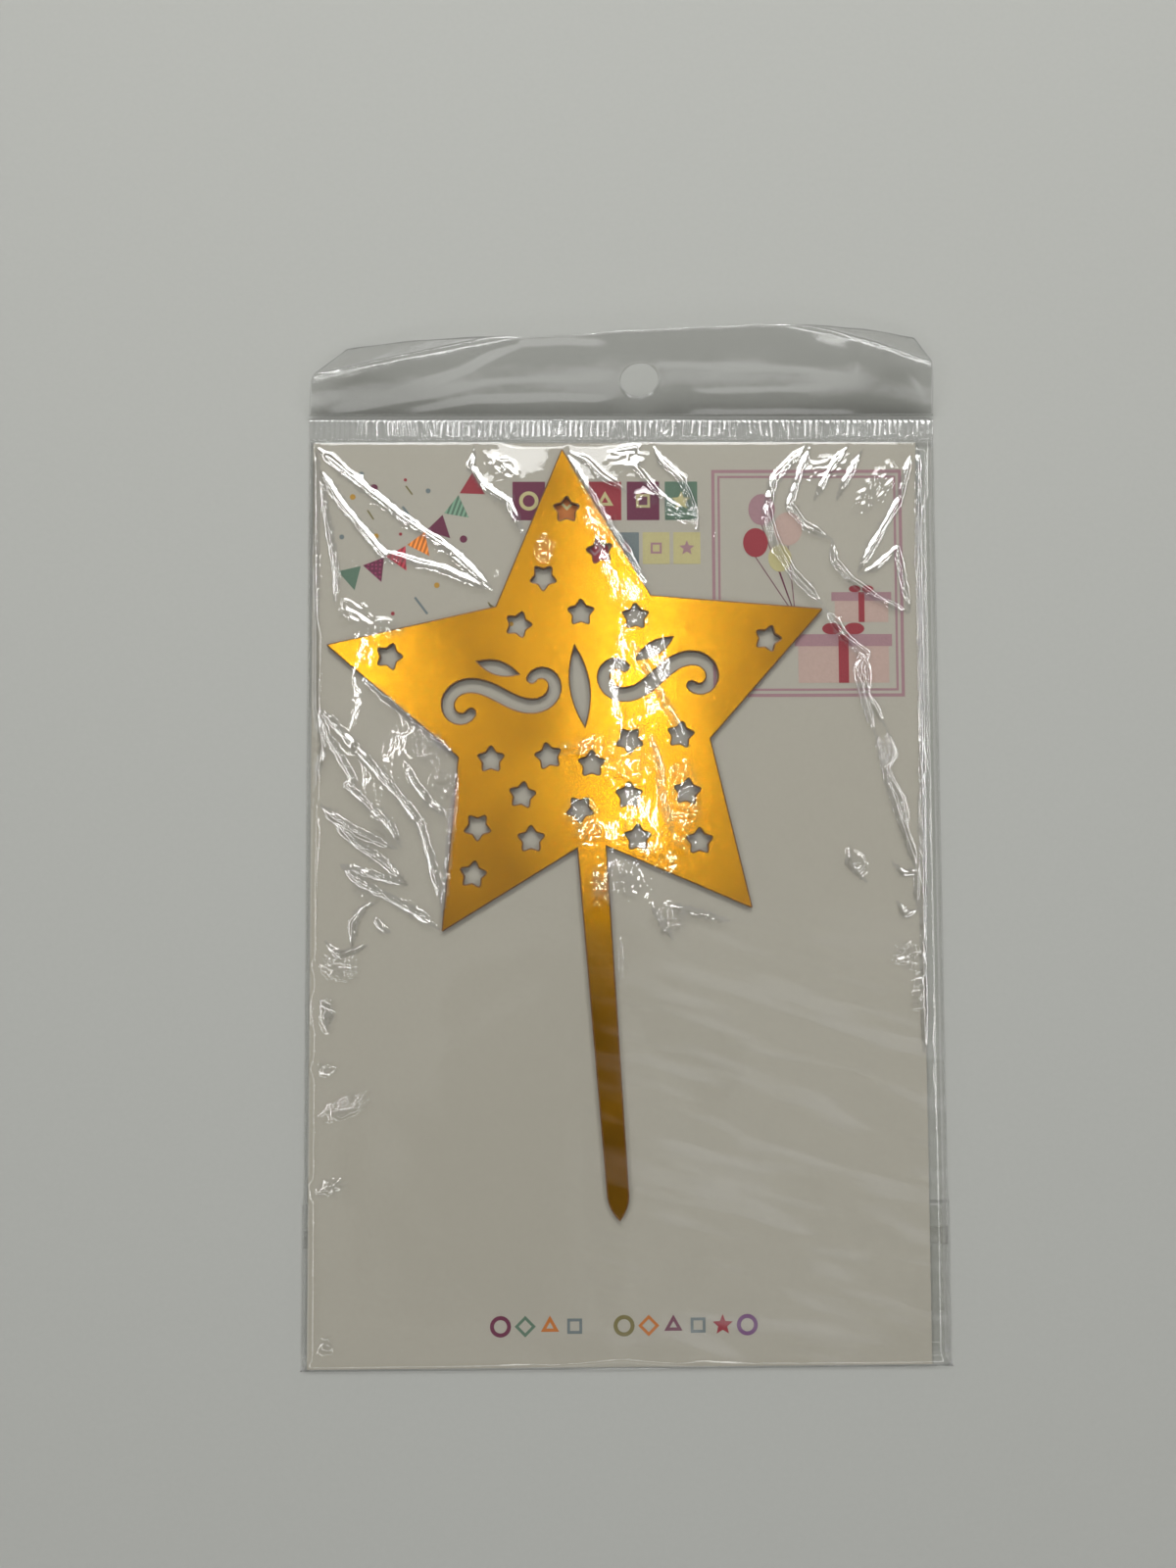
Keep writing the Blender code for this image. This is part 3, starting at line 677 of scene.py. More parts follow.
def nearest_on(line, x, y):
    """Distance of each point to a line, how far along the line that is, and its length."""
    best = np.full(x.shape, np.inf)
    place = np.zeros(x.shape)
    run = 0.0
    for (start_x, start_y), (end_x, end_y) in zip(line, line[1:]):
        dx = end_x - start_x
        dy = end_y - start_y
        length = math.hypot(dx, dy)
        share = np.clip(((x - start_x) * dx + (y - start_y) * dy) / length**2, 0, 1)
        gap = np.hypot(x - start_x - share * dx, y - start_y - share * dy)
        closer = gap < best
        best = np.where(closer, gap, best)
        place = np.where(closer, run + share * length, place)
        run += length
    return best, place, run


def turned(x, y, centre_x, centre_y, degrees):
    """Places seen from a centre, along and across a turned axis."""
    turn = math.radians(degrees)
    dx = x - centre_x
    dy = y - centre_y
    return dx * math.cos(turn) + dy * math.sin(turn), dy * math.cos(turn) - dx * math.sin(turn)


def points_of(bm):
    """The x and y of a sheet's points, in millimetres."""
    places = np.array([vert.co[:2] for vert in bm.verts]) / MM
    return places[:, 0], places[:, 1]


def busy(x, y, reach):
    """True where the head, the foot, a crease or a crumpled patch is within reach."""
    inside = np.minimum(y - FILM_LOW.y / MM, FILM_HIGH.y / MM - y)
    found = inside < EDGE_WIDTH + reach
    for width, line in CREASES:
        found |= nearest_on(line, x, y)[0] < width + reach
    for centre_x, centre_y, half_x, half_y, degrees, _ in CRUMPLES:
        along, across = turned(x, y, centre_x, centre_y, degrees)
        found |= np.hypot(along / (half_x + reach), across / (half_y + reach)) < 1
    return found


def refine(bm, reach):
    """Halves the squares near creases and crumples."""
    middles = [(edge.verts[0].co + edge.verts[1].co) / 2 / MM for edge in bm.edges]
    x = np.array([middle.x for middle in middles])
    y = np.array([middle.y for middle in middles])
    near = busy(x, y, reach)
    edges = [edge for edge, close in zip(bm.edges, near) if close]
    bmesh.ops.subdivide_edges(bm, edges=edges, cuts=1, use_grid_fill=True)


def topper_outline():
    """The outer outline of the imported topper, in millimetres, back to its first point."""
    bm = bmesh.new()
    bm.from_mesh(frame["nodes"]["topper"].data)
    bmesh.ops.remove_doubles(bm, verts=bm.verts, dist=MM / 1000)
    bm.normal_update()
    rims = {
        edge for edge in bm.edges
        if sorted(round(face.normal.z) for face in edge.link_faces) == [0, 1]
    }
    first = max((vert for edge in rims for vert in edge.verts), key=lambda vert: vert.co.y)
    points = [first.co.xy / MM]
    vert, last = first, None
    while vert is not first or last is None:
        last = next(edge for edge in vert.link_edges if edge in rims and edge is not last)
        vert = last.other_vert(vert)
        points.append(vert.co.xy / MM)
    bm.free()
    return points


def topper_distance(x, y):
    """Distance of each point from wherever the topper can slide, in millimetres."""
    slide = JOINTS["topper_slide"]["range_m"]
    outline = topper_outline()
    best = np.full(x.shape, np.inf)
    for shift in np.linspace(*slide, SLIDE_STEPS) / MM:
        moved = y - shift
        best = np.minimum(best, nearest_on(outline, x, moved)[0])
        crossings = np.zeros(x.shape, int)
        for start, end in zip(outline, outline[1:]):
            if start.y != end.y:
                meet = start.x + (moved - start.y) * (end.x - start.x) / (end.y - start.y)
                crossings += ((start.y > moved) != (end.y > moved)) & (meet > x)
        best = np.where(crossings % 2 == 1, 0.0, best)
    return best


def film_level(x, y):
    """Height of the front film without its creases, in millimetres, and its freedom.

    The freedom is a share from 0 at the edges to 1, for its creases and for its slow waves.
    """
    low, high = FILM_LOW / MM, FILM_HIGH / MM
    side = np.minimum(x - low.x, high.x - x)
    away = np.maximum(topper_distance(x, y) - TENT_MARGIN, 0.0)
    steep = np.interp(high.y - y, *zip(*HEAD_RISE))
    eased = np.interp(high.y - y, *zip(*HEAD_EASE))
    head = eased + (steep - eased) * np.clip(1 - away / HEAD_EASE_REACH, 0.0, 1.0)
    others = np.minimum(np.interp(side, *zip(*SIDE_RISE)), np.interp(y - low.y, *zip(*FOOT_RISE)))
    held = np.minimum(others, head)
    top = high.z - bpy.context.scene.topper_film.thickness / MM - low.z
    tent = TENT_FOOT + (top - TENT_FOOT) * np.exp(-away * TENT_SLOPE / (top - TENT_FOOT))
    inside = np.minimum(side, np.minimum(y - low.y, high.y - y))
    slack = np.clip(inside / SWAY_REACH, 0.0, 1.0) ** 1.5
    return low.z + np.minimum(held, tent), np.clip(np.minimum(others, steep) / top, 0.0, 1.0), slack


def waves(x, y, scale, seed):
    """Smooth noise at many places."""
    return np.array([wave(a, b, scale, seed) for a, b in zip(x, y)])


def crease_height(x, y):
    """Height that the creases add, in millimetres, and how crumpled the film is, 0 to 1."""
    height = np.zeros(x.shape)
    crumpled = np.zeros(x.shape)
    wobble = waves(x, y, 0.6, 3.0)
    swell = waves(x, y, 0.25, 8.0)
    for width, line in CREASES:
        gap, place, length = nearest_on(line, x, y)
        fade = min(CREASE_FADE, length / 3)
        ends = np.clip(np.minimum(place, length - place) / fade, 0.0, 1.0)
        reach = width * ends * (1.0 + CREASE_SWELL * swell)
        inside = np.maximum(reach - np.maximum(gap + CREASE_WANDER * wobble, 0.0), 0.0)
        steeper = (CREASE_TOP - CREASE_FOOT) / 2 * inside**2 / np.maximum(reach, 0.01)
        height = np.maximum(height, CREASE_FOOT * inside + steeper)
        crumpled = np.maximum(crumpled, (gap < reach + CREASE_MARGIN) * (reach > 0))
    for centre_x, centre_y, half_x, half_y, degrees, crest in CRUMPLES:
        along, across = turned(x, y, centre_x, centre_y, degrees)
        far = np.hypot(along / half_x, across / half_y)
        near = np.flatnonzero(far < 1)
        dips = np.abs(waves(along[near] * FOLD_STRETCH, across[near], FOLD_SCALE, centre_x))
        folds = 1 - FOLD_DEPTH * dips
        edge = np.clip(PATCH_RISE * (1 - far[near]) + PATCH_RAGGED * wobble[near], 0.0, 1.0)
        height[near] = np.maximum(height[near], FOLD_CREST * crest * edge * folds)
        crumpled[near] = np.maximum(crumpled[near], FOLD_SHARE * edge * (crest > 0))
    return np.maximum(height, 0.0), crumpled


def sway_height(x, y):
    """Slow waves of the film, in millimetres."""
    sway = bpy.context.scene.topper_film.sway / MM
    height = SWAY_MEAN
    for share, scale, slant_x, slant_y, seed in SWAY_SETS:
        height = height + share * waves(x + slant_x * y, y + slant_y * x, scale, seed)
    return np.maximum(sway * height, 0.0)


# How far the burnt line falls towards the cut, as a share of its width
RIM_FALL = 0.25


class TOPPER_OT_sheet(Operator):
    """Makes the gold star on its stick, with a burnt line round each cut"""

    bl_idname = "topper.sheet"
    bl_label = "Gold topper"

    def execute(self, context):
        looks = context.scene.topper_gold
        bm = bmesh.new()
        bm.from_mesh(frame["nodes"]["topper"].data)
        bmesh.ops.remove_doubles(bm, verts=bm.verts, dist=MM / 1000)
        bm.normal_update()
        for face in bm.faces:
            face.material_index = 1
        top = [face for face in bm.faces if face.normal.z > 0.9]
        bottom = [face for face in bm.faces if face.normal.z < -0.9]
        rim = bmesh.ops.inset_region(
            bm, faces=top, thickness=looks.rim, use_even_offset=True, use_boundary=True
        )
        for face in rim["faces"]:
            face.material_index = 1
        for face in top + bottom:
            face.material_index = 0
        inner = {vert for face in top for vert in face.verts}
        for vert in {vert for face in rim["faces"] for vert in face.verts} - inner:
            vert.co.z -= looks.rim * RIM_FALL
        new_piece("gold_topper", bm, "topper", [gold_face(), gold_edge()], ["topper"])
        return {"FINISHED"}


# Printed shapes: how far they lie over the card, each layer over the last, and their thickness
INK_GAP = 0.02
INK_LAYER = 0.04
INK_THICKNESS = 0.03


def inlay(bm, points, layer, material=0):
    """A flat printed shape, as a thin closed plate on the card."""
    low = CARD_HIGH.z + (INK_GAP + INK_LAYER * layer) * MM
    ring = [bm.verts.new((x * MM, y * MM, low)) for x, y in points]
    face = bm.faces.new(ring)
    face.normal_update()
    if face.normal.z > 0:
        face.normal_flip()
    face.material_index = material
    grown = bmesh.ops.extrude_face_region(bm, geom=[face], use_keep_orig=True)["geom"]
    verts = [item for item in grown if isinstance(item, bmesh.types.BMVert)]
    bmesh.ops.translate(bm, vec=(0, 0, INK_THICKNESS * MM), verts=verts)
    for item in grown:
        if isinstance(item, bmesh.types.BMFace):
            item.material_index = material
            for edge in item.edges:
                for side in edge.link_faces:
                    side.material_index = material


def ring_inlay(bm, outer, inner, layer, material=0):
    """A printed line between two outlines with as many points."""
    for i in range(len(outer)):
        after = (i + 1) % len(outer)
        inlay(bm, [outer[i], outer[after], inner[after], inner[i]], layer, material)


def regular(x, y, radius, sides, turn=0.0, squeeze=1.0):
    """The corners of a regular shape, or of an oval when squeezed."""
    return [
        (
            x + radius * math.cos(turn + 2 * math.pi * i / sides),
            y + radius * squeeze * math.sin(turn + 2 * math.pi * i / sides),
        )
        for i in range(sides)
    ]


def box_outline(left, low, width, height):
    """The corners of an upright box."""
    return [(left, low), (left + width, low), (left + width, low + height), (left, low + height)]


# How far in the notches of a small printed star lie, as a share of its radius
STAR_NOTCH = 0.45


def star_outline(x, y, radius, turn=math.pi / 2):
    """The ten corners of a small star."""
    corners = []
    for i in range(10):
        reach = radius if i % 2 == 0 else radius * STAR_NOTCH
        angle = turn + math.pi * i / 5
        corners.append((x + reach * math.cos(angle), y + reach * math.sin(angle)))
    return corners


def finish_print(name, bm, inks):
    """Makes a printed piece, which rides on the card."""
    bmesh.ops.recalc_face_normals(bm, faces=bm.faces)
    new_piece(name, bm, "card", inks)


class TOPPER_OT_card(Operator):
    """Gives the backing card its paper"""

    bl_idname = "topper.card"
    bl_label = "Backing card"

    def execute(self, context):
        card = frame["nodes"]["backing_card"]
        card.data.materials.clear()
        card.data.materials.append(card_paper())
        return {"FINISHED"}


# The curve that the pennants hang on, their inks and patterns, how far they hang down, and
# the gap at either end of one, as a share of the line
BUNTING_LINE = ((-61.3, 56.9), (-41.9, 60.3), (-32.2, 78.6))
PENNANTS = (
    ("green", None),
    ("maroon", "dots"),
    ("red", "stripes"),
    ("orange", "stripes"),
    ("maroon", None),
    ("green", "stripes"),
    ("red", None),
)
PENNANT_DROP = 4.8
PENNANT_GAP = 0.006


class TOPPER_OT_bunting(Operator):
    """Prints the string of pennants"""

    bl_idname = "topper.bunting"
    bl_label = "Printed bunting"

    def execute(self, context):
        start, bend, end = (Vector(point) for point in BUNTING_LINE)

        def on_line(share):
            return start * (1 - share) ** 2 + bend * 2 * share * (1 - share) + end * share**2

        bm = bmesh.new()
        inks = [ink(name, pattern) for name, pattern in PENNANTS]
        for i in range(len(PENNANTS)):
            left = on_line(i / len(PENNANTS) + PENNANT_GAP)
            right = on_line((i + 1) / len(PENNANTS) - PENNANT_GAP)
            along = (right - left).normalized()
            tip = (left + right) / 2 + Vector((along.y, -along.x)) * PENNANT_DROP
            inlay(bm, [left, tip, right], 0, i)
        finish_print("printed_bunting", bm, inks)
        return {"FINISHED"}


CONFETTI_INKS = ("slate", "maroon", "red", "mustard", "olive")

# Each dot: place, radius and its ink
DOTS = (
    (-56.1, 78.1, 0.54, 0),
    (-53.4, 75.1, 0.80, 1),
    (-46.7, 76.8, 0.36, 2),
    (-41.8, 74.4, 0.54, 0),
    (-58.0, 73.1, 0.62, 3),
    (-49.8, 71.4, 0.36, 3),
    (-60.3, 64.4, 0.54, 0),
    (-52.9, 64.6, 0.54, 3),
    (-47.7, 65.0, 0.36, 2),
    (-34.2, 63.9, 0.80, 1),
    (-39.9, 53.9, 0.60, 3),
    (-49.3, 47.8, 0.42, 2),
    (-33.0, 39.5, 0.45, 1),
    (-39.0, 37.0, 0.50, 2),
    (-24.0, 45.5, 0.50, 3),
)

# Each dash: its two ends, width and its ink
DASHES = (
    (-46.6, 75.5, -45.2, 73.6, 0.35, 4),
    (-54.8, 70.2, -53.5, 68.2, 0.35, 4),
    (-47.3, 71.0, -44.7, 67.4, 0.55, 0),
    (-44.6, 51.3, -41.9, 47.7, 0.50, 0),
    (-28.9, 50.2, -28.3, 49.2, 0.35, 4),
    (-28.6, 49.6, -26.6, 48.6, 0.40, 4),
)


class TOPPER_OT_confetti(Operator):
    """Prints the scattered dots and dashes"""

    bl_idname = "topper.confetti"
    bl_label = "Printed confetti"

    def execute(self, context):
        bm = bmesh.new()
        for x, y, radius, colour in DOTS:
            inlay(bm, regular(x, y, radius, 16), 0, colour)
        for start_x, start_y, end_x, end_y, width, colour in DASHES:
            along = Vector((end_x - start_x, end_y - start_y)).normalized()
            side = Vector((-along.y, along.x)) * width / 2
            start = Vector((start_x, start_y))
            end = Vector((end_x, end_y))
            inlay(bm, [start - side, end - side, end + side, start + side], 0, colour)
        finish_print("printed_confetti", bm, [ink(name) for name in CONFETTI_INKS])
        return {"FINISHED"}


# Rows of tiles: left, foot, width, height, pitch, mark size, ink of the marks, inks
TILE_ROWS = (
    (-23.66, 67.96, 7.0, 8.4, 8.2, 2.1, "khaki", ("maroon", "orange", "red", "maroon", "green")),
    (-15.5, 58.4, 5.8, 6.9, 6.6, 1.7, "rose", ("blush", "red", "slate", "khaki", "khaki")),
)

# Plain marks: sides and turn of the ring, the diamond, the triangle and the square, and the
# inner edge as a share of the outer one, for a triangle and for the others
MARK_SHAPES = ((20, 0.0), (4, 0.0), (3, math.pi / 2), (4, math.pi / 4))
TRIANGLE_INNER = 0.4
MARK_INNER = 0.62


class TOPPER_OT_tiles(Operator):
    """Prints two rows of coloured tiles, each with a plain mark in it"""

    bl_idname = "topper.tiles"
    bl_label = "Printed tiles"

    def execute(self, context):
        bm = bmesh.new()
        inks = []
        for left, foot, width, height, pitch, size, mark_ink, colours in TILE_ROWS:
            for i, colour in enumerate(colours):
                x = left + pitch * i
                inlay(bm, box_outline(x, foot, width, height), 0, len(inks))
                inks.append(ink(colour))
                middle = (x + width / 2, foot + height / 2)
                plain_mark(bm, middle, size, i, 1, len(inks))
                inks.append(ink(mark_ink))
        finish_print("printed_tiles", bm, inks)
        return {"FINISHED"}


def plain_mark(bm, middle, size, kind, layer, material):
    """A plain mark: a ring, a diamond, a triangle, a square or a star."""
    kind %= len(MARK_SHAPES) + 1
    if kind == len(MARK_SHAPES):
        inlay(bm, star_outline(*middle, size), layer, material)
        return
    sides, turn = MARK_SHAPES[kind]
    outer = regular(*middle, size, sides, turn)
    inner = regular(*middle, size * (MARK_INNER if sides > 3 else TRIANGLE_INNER), sides, turn)
    ring_inlay(bm, outer, inner, layer, material)


# Frame round the picture: left, foot, width and height of its outer edge, and for each of
# its lines how far in it lies and its width
PICTURE = (19.2, 29.6, 41.1, 49.3)
FRAME_LINES = ((0.0, 0.70), (1.30, 0.50))


class TOPPER_OT_picture(Operator):
    """Prints the double frame, with wrapped boxes and balloons in it"""

    bl_idname = "topper.picture"
    bl_label = "Printed picture"

    def execute(self, context):
        left, foot, width, height = PICTURE
        bm = bmesh.new()
        for inset, line in FRAME_LINES:
            outer = box_outline(left + inset, foot + inset, width - 2 * inset, height - 2 * inset)
            far = inset + line
            inner = box_outline(left + far, foot + far, width - 2 * far, height - 2 * far)
            ring_inlay(bm, outer, inner, 0)
        finish_print("printed_frame", bm, [ink("rose")])
        bm = bmesh.new()
        inks = [ink(name) for name in ("blush", "rose", "red", "khaki", "maroon")]
        draw_gifts(bm)
        draw_balloons(bm)
        finish_print("printed_picture", bm, inks)
        return {"FINISHED"}


# Wrapped boxes: left, foot, width, height, lid height
GIFTS = ((37.5, 32.6, 19.5, 10.5, 2.6), (45.5, 45.7, 11.5, 6.5, 1.9))
LID_OVERHANG = 0.7

# Their ribbons, as a share of the width of the box, and the loops of their bows: how far
# aside and up, in ribbon widths, and their height as a share of their width
GIFT_RIBBON = 1 / 9
BOW_PLACE = (1.1, 0.55)
BOW_SQUEEZE = 0.6

# Balloons: place, radius, ink; their height as a share of their width, and their strings
BALLOONS = ((30.0, 70.2, 2.9, 1), (35.6, 66.0, 3.1, 0), (28.6, 63.0, 2.7, 2), (33.8, 59.6, 2.5, 3))
BALLOON_STRETCH = 1.18
BALLOON_KNOT = (37.0, 47.0)
STRING_WIDTH = 0.18


def draw_gifts(bm):
    """Two wrapped boxes with ribbons and bows."""
    for left, foot, width, height, lid in GIFTS:
        middle = left + width / 2
        ribbon = width * GIFT_RIBBON
        inlay(bm, box_outline(left, foot, width, height), 0, 0)
        lid_width = width + 2 * LID_OVERHANG
        inlay(bm, box_outline(left - LID_OVERHANG, foot + height - lid, lid_width, lid), 1, 1)
        inlay(bm, box_outline(middle - ribbon / 2, foot, ribbon, height), 2, 2)
        aside, up = (share * ribbon for share in BOW_PLACE)
        for x in (middle - aside, middle + aside):
            inlay(bm, regular(x, foot + height + up, ribbon, 14, 0, BOW_SQUEEZE), 1, 2)


def draw_balloons(bm):
    """A bunch of balloons on strings."""
    for x, y, radius, colour in BALLOONS:
        inlay(bm, regular(x, y, radius, 20, 0, BALLOON_STRETCH), 1, colour)
        foot = Vector(BALLOON_KNOT)
        head = Vector((x, y - radius * BALLOON_STRETCH))
        side = Vector((head.y - foot.y, foot.x - head.x)).normalized() * STRING_WIDTH / 2
        inlay(bm, [foot - side, head - side, head + side, foot + side], 0, 4)


# Row of marks at the foot of the card: their inks, with a gap, the first one's place, the
# step to the next, their height on the card and their size
MARK_ROW_INKS = (
    "maroon", "green", "orange", "slate", None, "olive", "orange", "maroon", "slate", "red", "plum",
)
MARK_ROW_START = -26.4
MARK_ROW_PITCH = 5.14
MARK_ROW_HEIGHT = -101.8
MARK_SIZE = 2.2


class TOPPER_OT_marks(Operator):
    """Prints the row of small coloured marks at the foot of the card"""

    bl_idname = "topper.marks"
    bl_label = "Printed marks"

    def execute(self, context):
        bm = bmesh.new()
        inks = []
        for i, colour in enumerate(MARK_ROW_INKS):
            if colour:
                middle = (MARK_ROW_START + MARK_ROW_PITCH * i, MARK_ROW_HEIGHT)
                plain_mark(bm, middle, MARK_SIZE, i, 0, len(inks))
                inks.append(ink(colour))
        finish_print("printed_marks", bm, inks)
        return {"FINISHED"}


class TOPPER_OT_front_film(Operator):
    """Makes the creased clear front of the bag"""

    bl_idname = "topper.front_film"
    bl_label = "Front film"

    def execute(self, context):
        looks = context.scene.topper_film
        bm = flat_grid(FILM_LOW.x, FILM_HIGH.x, FILM_LOW.y, FILM_HIGH.y, looks.spacing)
        for reach in REFINE_REACHES:
            refine(bm, reach)
        wide = [face for face in bm.faces if len(face.verts) > 4]
        bmesh.ops.triangulate(bm, faces=wide)
        x, y = points_of(bm)
        level, free, slack = film_level(x, y)
        creases, crumpled = crease_height(x, y)
        height = level + free * (creases + slack * sway_height(x, y))
        layer = bm.verts.layers.float.new("crumpled")
        for vert, z, share in zip(bm.verts, height, crumpled):
            vert.co.z = z * MM
            vert[layer] = share
        finish = clear_film("front_clear")
        film = new_piece("bag_front", bm, "bag", [finish], ["front_film"], True)
        thicken(film)
        return {"FINISHED"}


# Back of the bag: distance from its foot or head, and height as a share; and the height and
# the waves to the millimetre of its slack
BACK_FOOT = ((0.0, 1.0), (31.35, 1.0), (39.2, 0.0))
BACK_HEAD = ((0.0, 1.0), (7.85, 0.0))
BACK_SLACK = 0.15
BACK_WAVES = 0.12
BACK_HAZE = 0.18


class TOPPER_OT_back_film(Operator):
    """Makes the clear back of the bag, which steps up over the flap"""

    bl_idname = "topper.back_film"
    bl_label = "Back film"

    def execute(self, context):
        looks = context.scene.topper_film
        bm = flat_grid(BACK_LOW.x, BACK_HIGH.x, BACK_LOW.y, BACK_HIGH.y, looks.spacing)
        x, y = points_of(bm)
        raised = (BACK_HIGH.z - looks.thickness) / MM
        foot = np.interp(y - BACK_LOW.y / MM, *zip(*BACK_FOOT))
        head = np.interp(BACK_HIGH.y / MM - y, *zip(*BACK_HEAD))
        lift = np.maximum(foot, head) * raised
        slack = waves(x, y, BACK_WAVES, 31.0)
        for vert, z, loose in zip(bm.verts, lift, slack):
            vert.co.z = max(z, BACK_SLACK * max(loose, 0.0)) * MM
        finish = clear_film("back_clear", BACK_HAZE)
        film = new_piece("bag_back", bm, "bag", [finish], ["back_film"], True)
        thicken(film)
        return {"FINISHED"}


# Side welds: squares of the mesh, and the height and swing of their crimps
WELD_SQUARE = 0.2
WELD_RISE = 0.04
WELD_CRIMP = 0.03


class TOPPER_OT_welds(Operator):
    """Makes the thin fused edges down both sides"""

    bl_idname = "topper.welds"
    bl_label = "Side welds"

    def execute(self, context):
        finish = clear_film(
            "weld_clear", roughness=0.2, tint_share=0.97, crinkle=0.8, extra_shine=0.03
        )
        for node in ("left_side_weld", "right_side_weld"):
            low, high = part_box(node)
            bm = flat_grid(low.x, high.x, low.y, high.y, WELD_SQUARE * MM)
            for vert in bm.verts:
                crimp = wave(vert.co.x / MM, vert.co.y / MM, 1.3, 2.0)
                vert.co.z = low.z + (WELD_RISE + WELD_CRIMP * crimp) * MM
            weld = new_piece(f"fused_{node}", bm, "bag", [finish], [node], True)
            thicken(weld)
        return {"FINISHED"}


def seal_height(x, y):
    """Height of the ribbed seal over the foot of its ribs, in millimetres."""
    low, high = BAND_LOW.y / MM, BAND_HIGH.y / MM
    left, right = BAND_LOW.x / MM, BAND_HIGH.x / MM
    lean = RIB_LEAN * wave(x, 0.0, 0.05, 4.0) * (y - low)
    place = (x + RIB_WANDER * wave(x, y * 0.3, 0.5, 9.0) + lean) / RIB_PITCH % 1.0
    rib = place / RIB_RISE if place < RIB_RISE else (1 - place) / (1 - RIB_RISE)
    ends = min(1.0, min(y - low, high - y) / RIB_ENDS)
    slope = np.interp(x, (left, right), RIB_SLOPES)
    depth = RIB_PITCH * RIB_RISE * math.tan(slope) * (1.0 + RIB_UNEVEN * wave(x, y, 0.3, 12.0))
    height = rib * ends * depth * min(1.0, RIB_LEFT_SHARE + (x - left) / RIB_FULL_REACH)
    for centre_x, centre_y in BLISTERS:
        far = math.hypot((x - centre_x) / BLISTER_SIZE[0], (y - centre_y) / BLISTER_SIZE[1])
        past_rim = (far - BLISTER_RIM[0]) / BLISTER_RIM[1]
        height = max(height, BLISTER_HEIGHT * math.exp(-(past_rim**2)))
    return height


class TOPPER_OT_seal(Operator):
    """Makes the ribbed heat seal under the header"""

    bl_idname = "topper.seal"
    bl_label = "Ribbed seal"

    def execute(self, context):
        along, up = RIB_STEPS
        bm = flat_grid(BAND_LOW.x, BAND_HIGH.x, BAND_LOW.y, BAND_HIGH.y, RIB_PITCH * MM / along, up)
        foot = BAND_LOW.z + context.scene.topper_film.thickness
        for vert in bm.verts:
            vert.co.z = foot + seal_height(vert.co.x / MM, vert.co.y / MM) * MM
        finish = clear_film(
            "seal_clear", roughness=0.13, tint_share=0.98, crinkle=0.3, extra_shine=0.1
        )
        seal = new_piece(
            "ribbed_seal", bm, "bag", [finish], ["header_seal_band"], True
        )
        thicken(seal, up=False)
        return {"FINISHED"}


def header_corners(x, width, length):
    """The header's folds at distances from its left end.

    Gives how far up the fold runs, its width, the slope beyond it, and how far each
    millimetre beyond it leans to the right.
    """
    from_right = width - x
    folds = []
    for side, table, pull in ((x, LEFT_FOLD, LEFT_CORNER_PULL), (from_right, RIGHT_FOLD, -RIGHT_CORNER_PULL)):
        places, runs, widths = zip(*table)
        fold = np.interp(side, places, runs)
        lean = pull * np.maximum(0.0, 1 - side / places[-1]) / np.maximum(length - fold, 1.0)
        fold = np.where(side > places[-1], 2 * length, fold)
        folds.append((fold, np.interp(side, places, widths), lean))
    at_left = x < width / 2
    fold, fold_width, lean = (np.where(at_left, left, right) for left, right in zip(*folds))
    return fold, fold_width, np.where(at_left, LEFT_CORNER_SLOPE, RIGHT_CORNER_SLOPE), lean


def header_slope(x, run, width, length, fold, fold_width, corner):
    """Slope of the header at distances from its left end and from its hinge."""
    reach = np.minimum(fold, length)
    swing = -np.cos(2 * math.pi * np.minimum(run / reach, 1.0)) * np.minimum(1.0, reach / HEADER_SWING_REACH)
    slope = np.interp(x, (0, width), HEADER_TILTS) + HEADER_SWING * swing
    for half_width, line in RIBBONS:
        gap, place, whole = nearest_on(line, x, run)
        share = np.clip((half_width - gap) / RIBBON_EDGE + 0.5, 0.0, 1.0)
        share *= np.clip(np.minimum(place, whole - place) / RIBBON_FADE, 0.0, 1.0)
        slope += (RIBBON_SLOPE - slope) * share * share * (3 - 2 * share)
    before = np.clip((fold - fold_width / 2 - run) / FOLD_EDGE, 0.0, 1.0)
    beyond = np.clip((run - fold - fold_width / 2) / FOLD_EDGE, 0.0, 1.0)
    return FOLD_SLOPE + (slope - FOLD_SLOPE) * before + (corner - FOLD_SLOPE) * beyond


def header_columns(width):
    """Where upright lines of the header lie, a square apart, from the hinge up."""
    x = np.linspace(0, width, round(width / HEADER_SQUARE) + 1)
    length = np.interp(x, *zip(*HEADER_LENGTHS))
    fold, fold_width, corner, lean = header_corners(x, width, length)
    ends_lean = END_LEAN * (
        np.clip(1 - x / END_LEAN_REACH, 0, 1) - np.clip(1 - (width - x) / END_LEAN_REACH, 0, 1)
    )
    place = np.stack((x, np.full(x.shape, HEADER_START), np.zeros(x.shape)), axis=-1)
    points = [place]
    for i in range(HEADER_STEPS):
        run = (i + 0.5) * length / HEADER_STEPS
        slope = header_slope(x, run, width, length, fold, fold_width, corner)
        aside = ends_lean + lean * np.clip((run - fold) / FOLD_EDGE, 0.0, 1.0)
        ahead = np.sqrt(1 - aside**2)
        way = np.stack((aside, ahead * np.cos(slope), ahead * np.sin(slope)), axis=-1)
        place = place + way * (length / HEADER_STEPS)[:, None]
        points.append(place)
    return np.stack(points, axis=1)


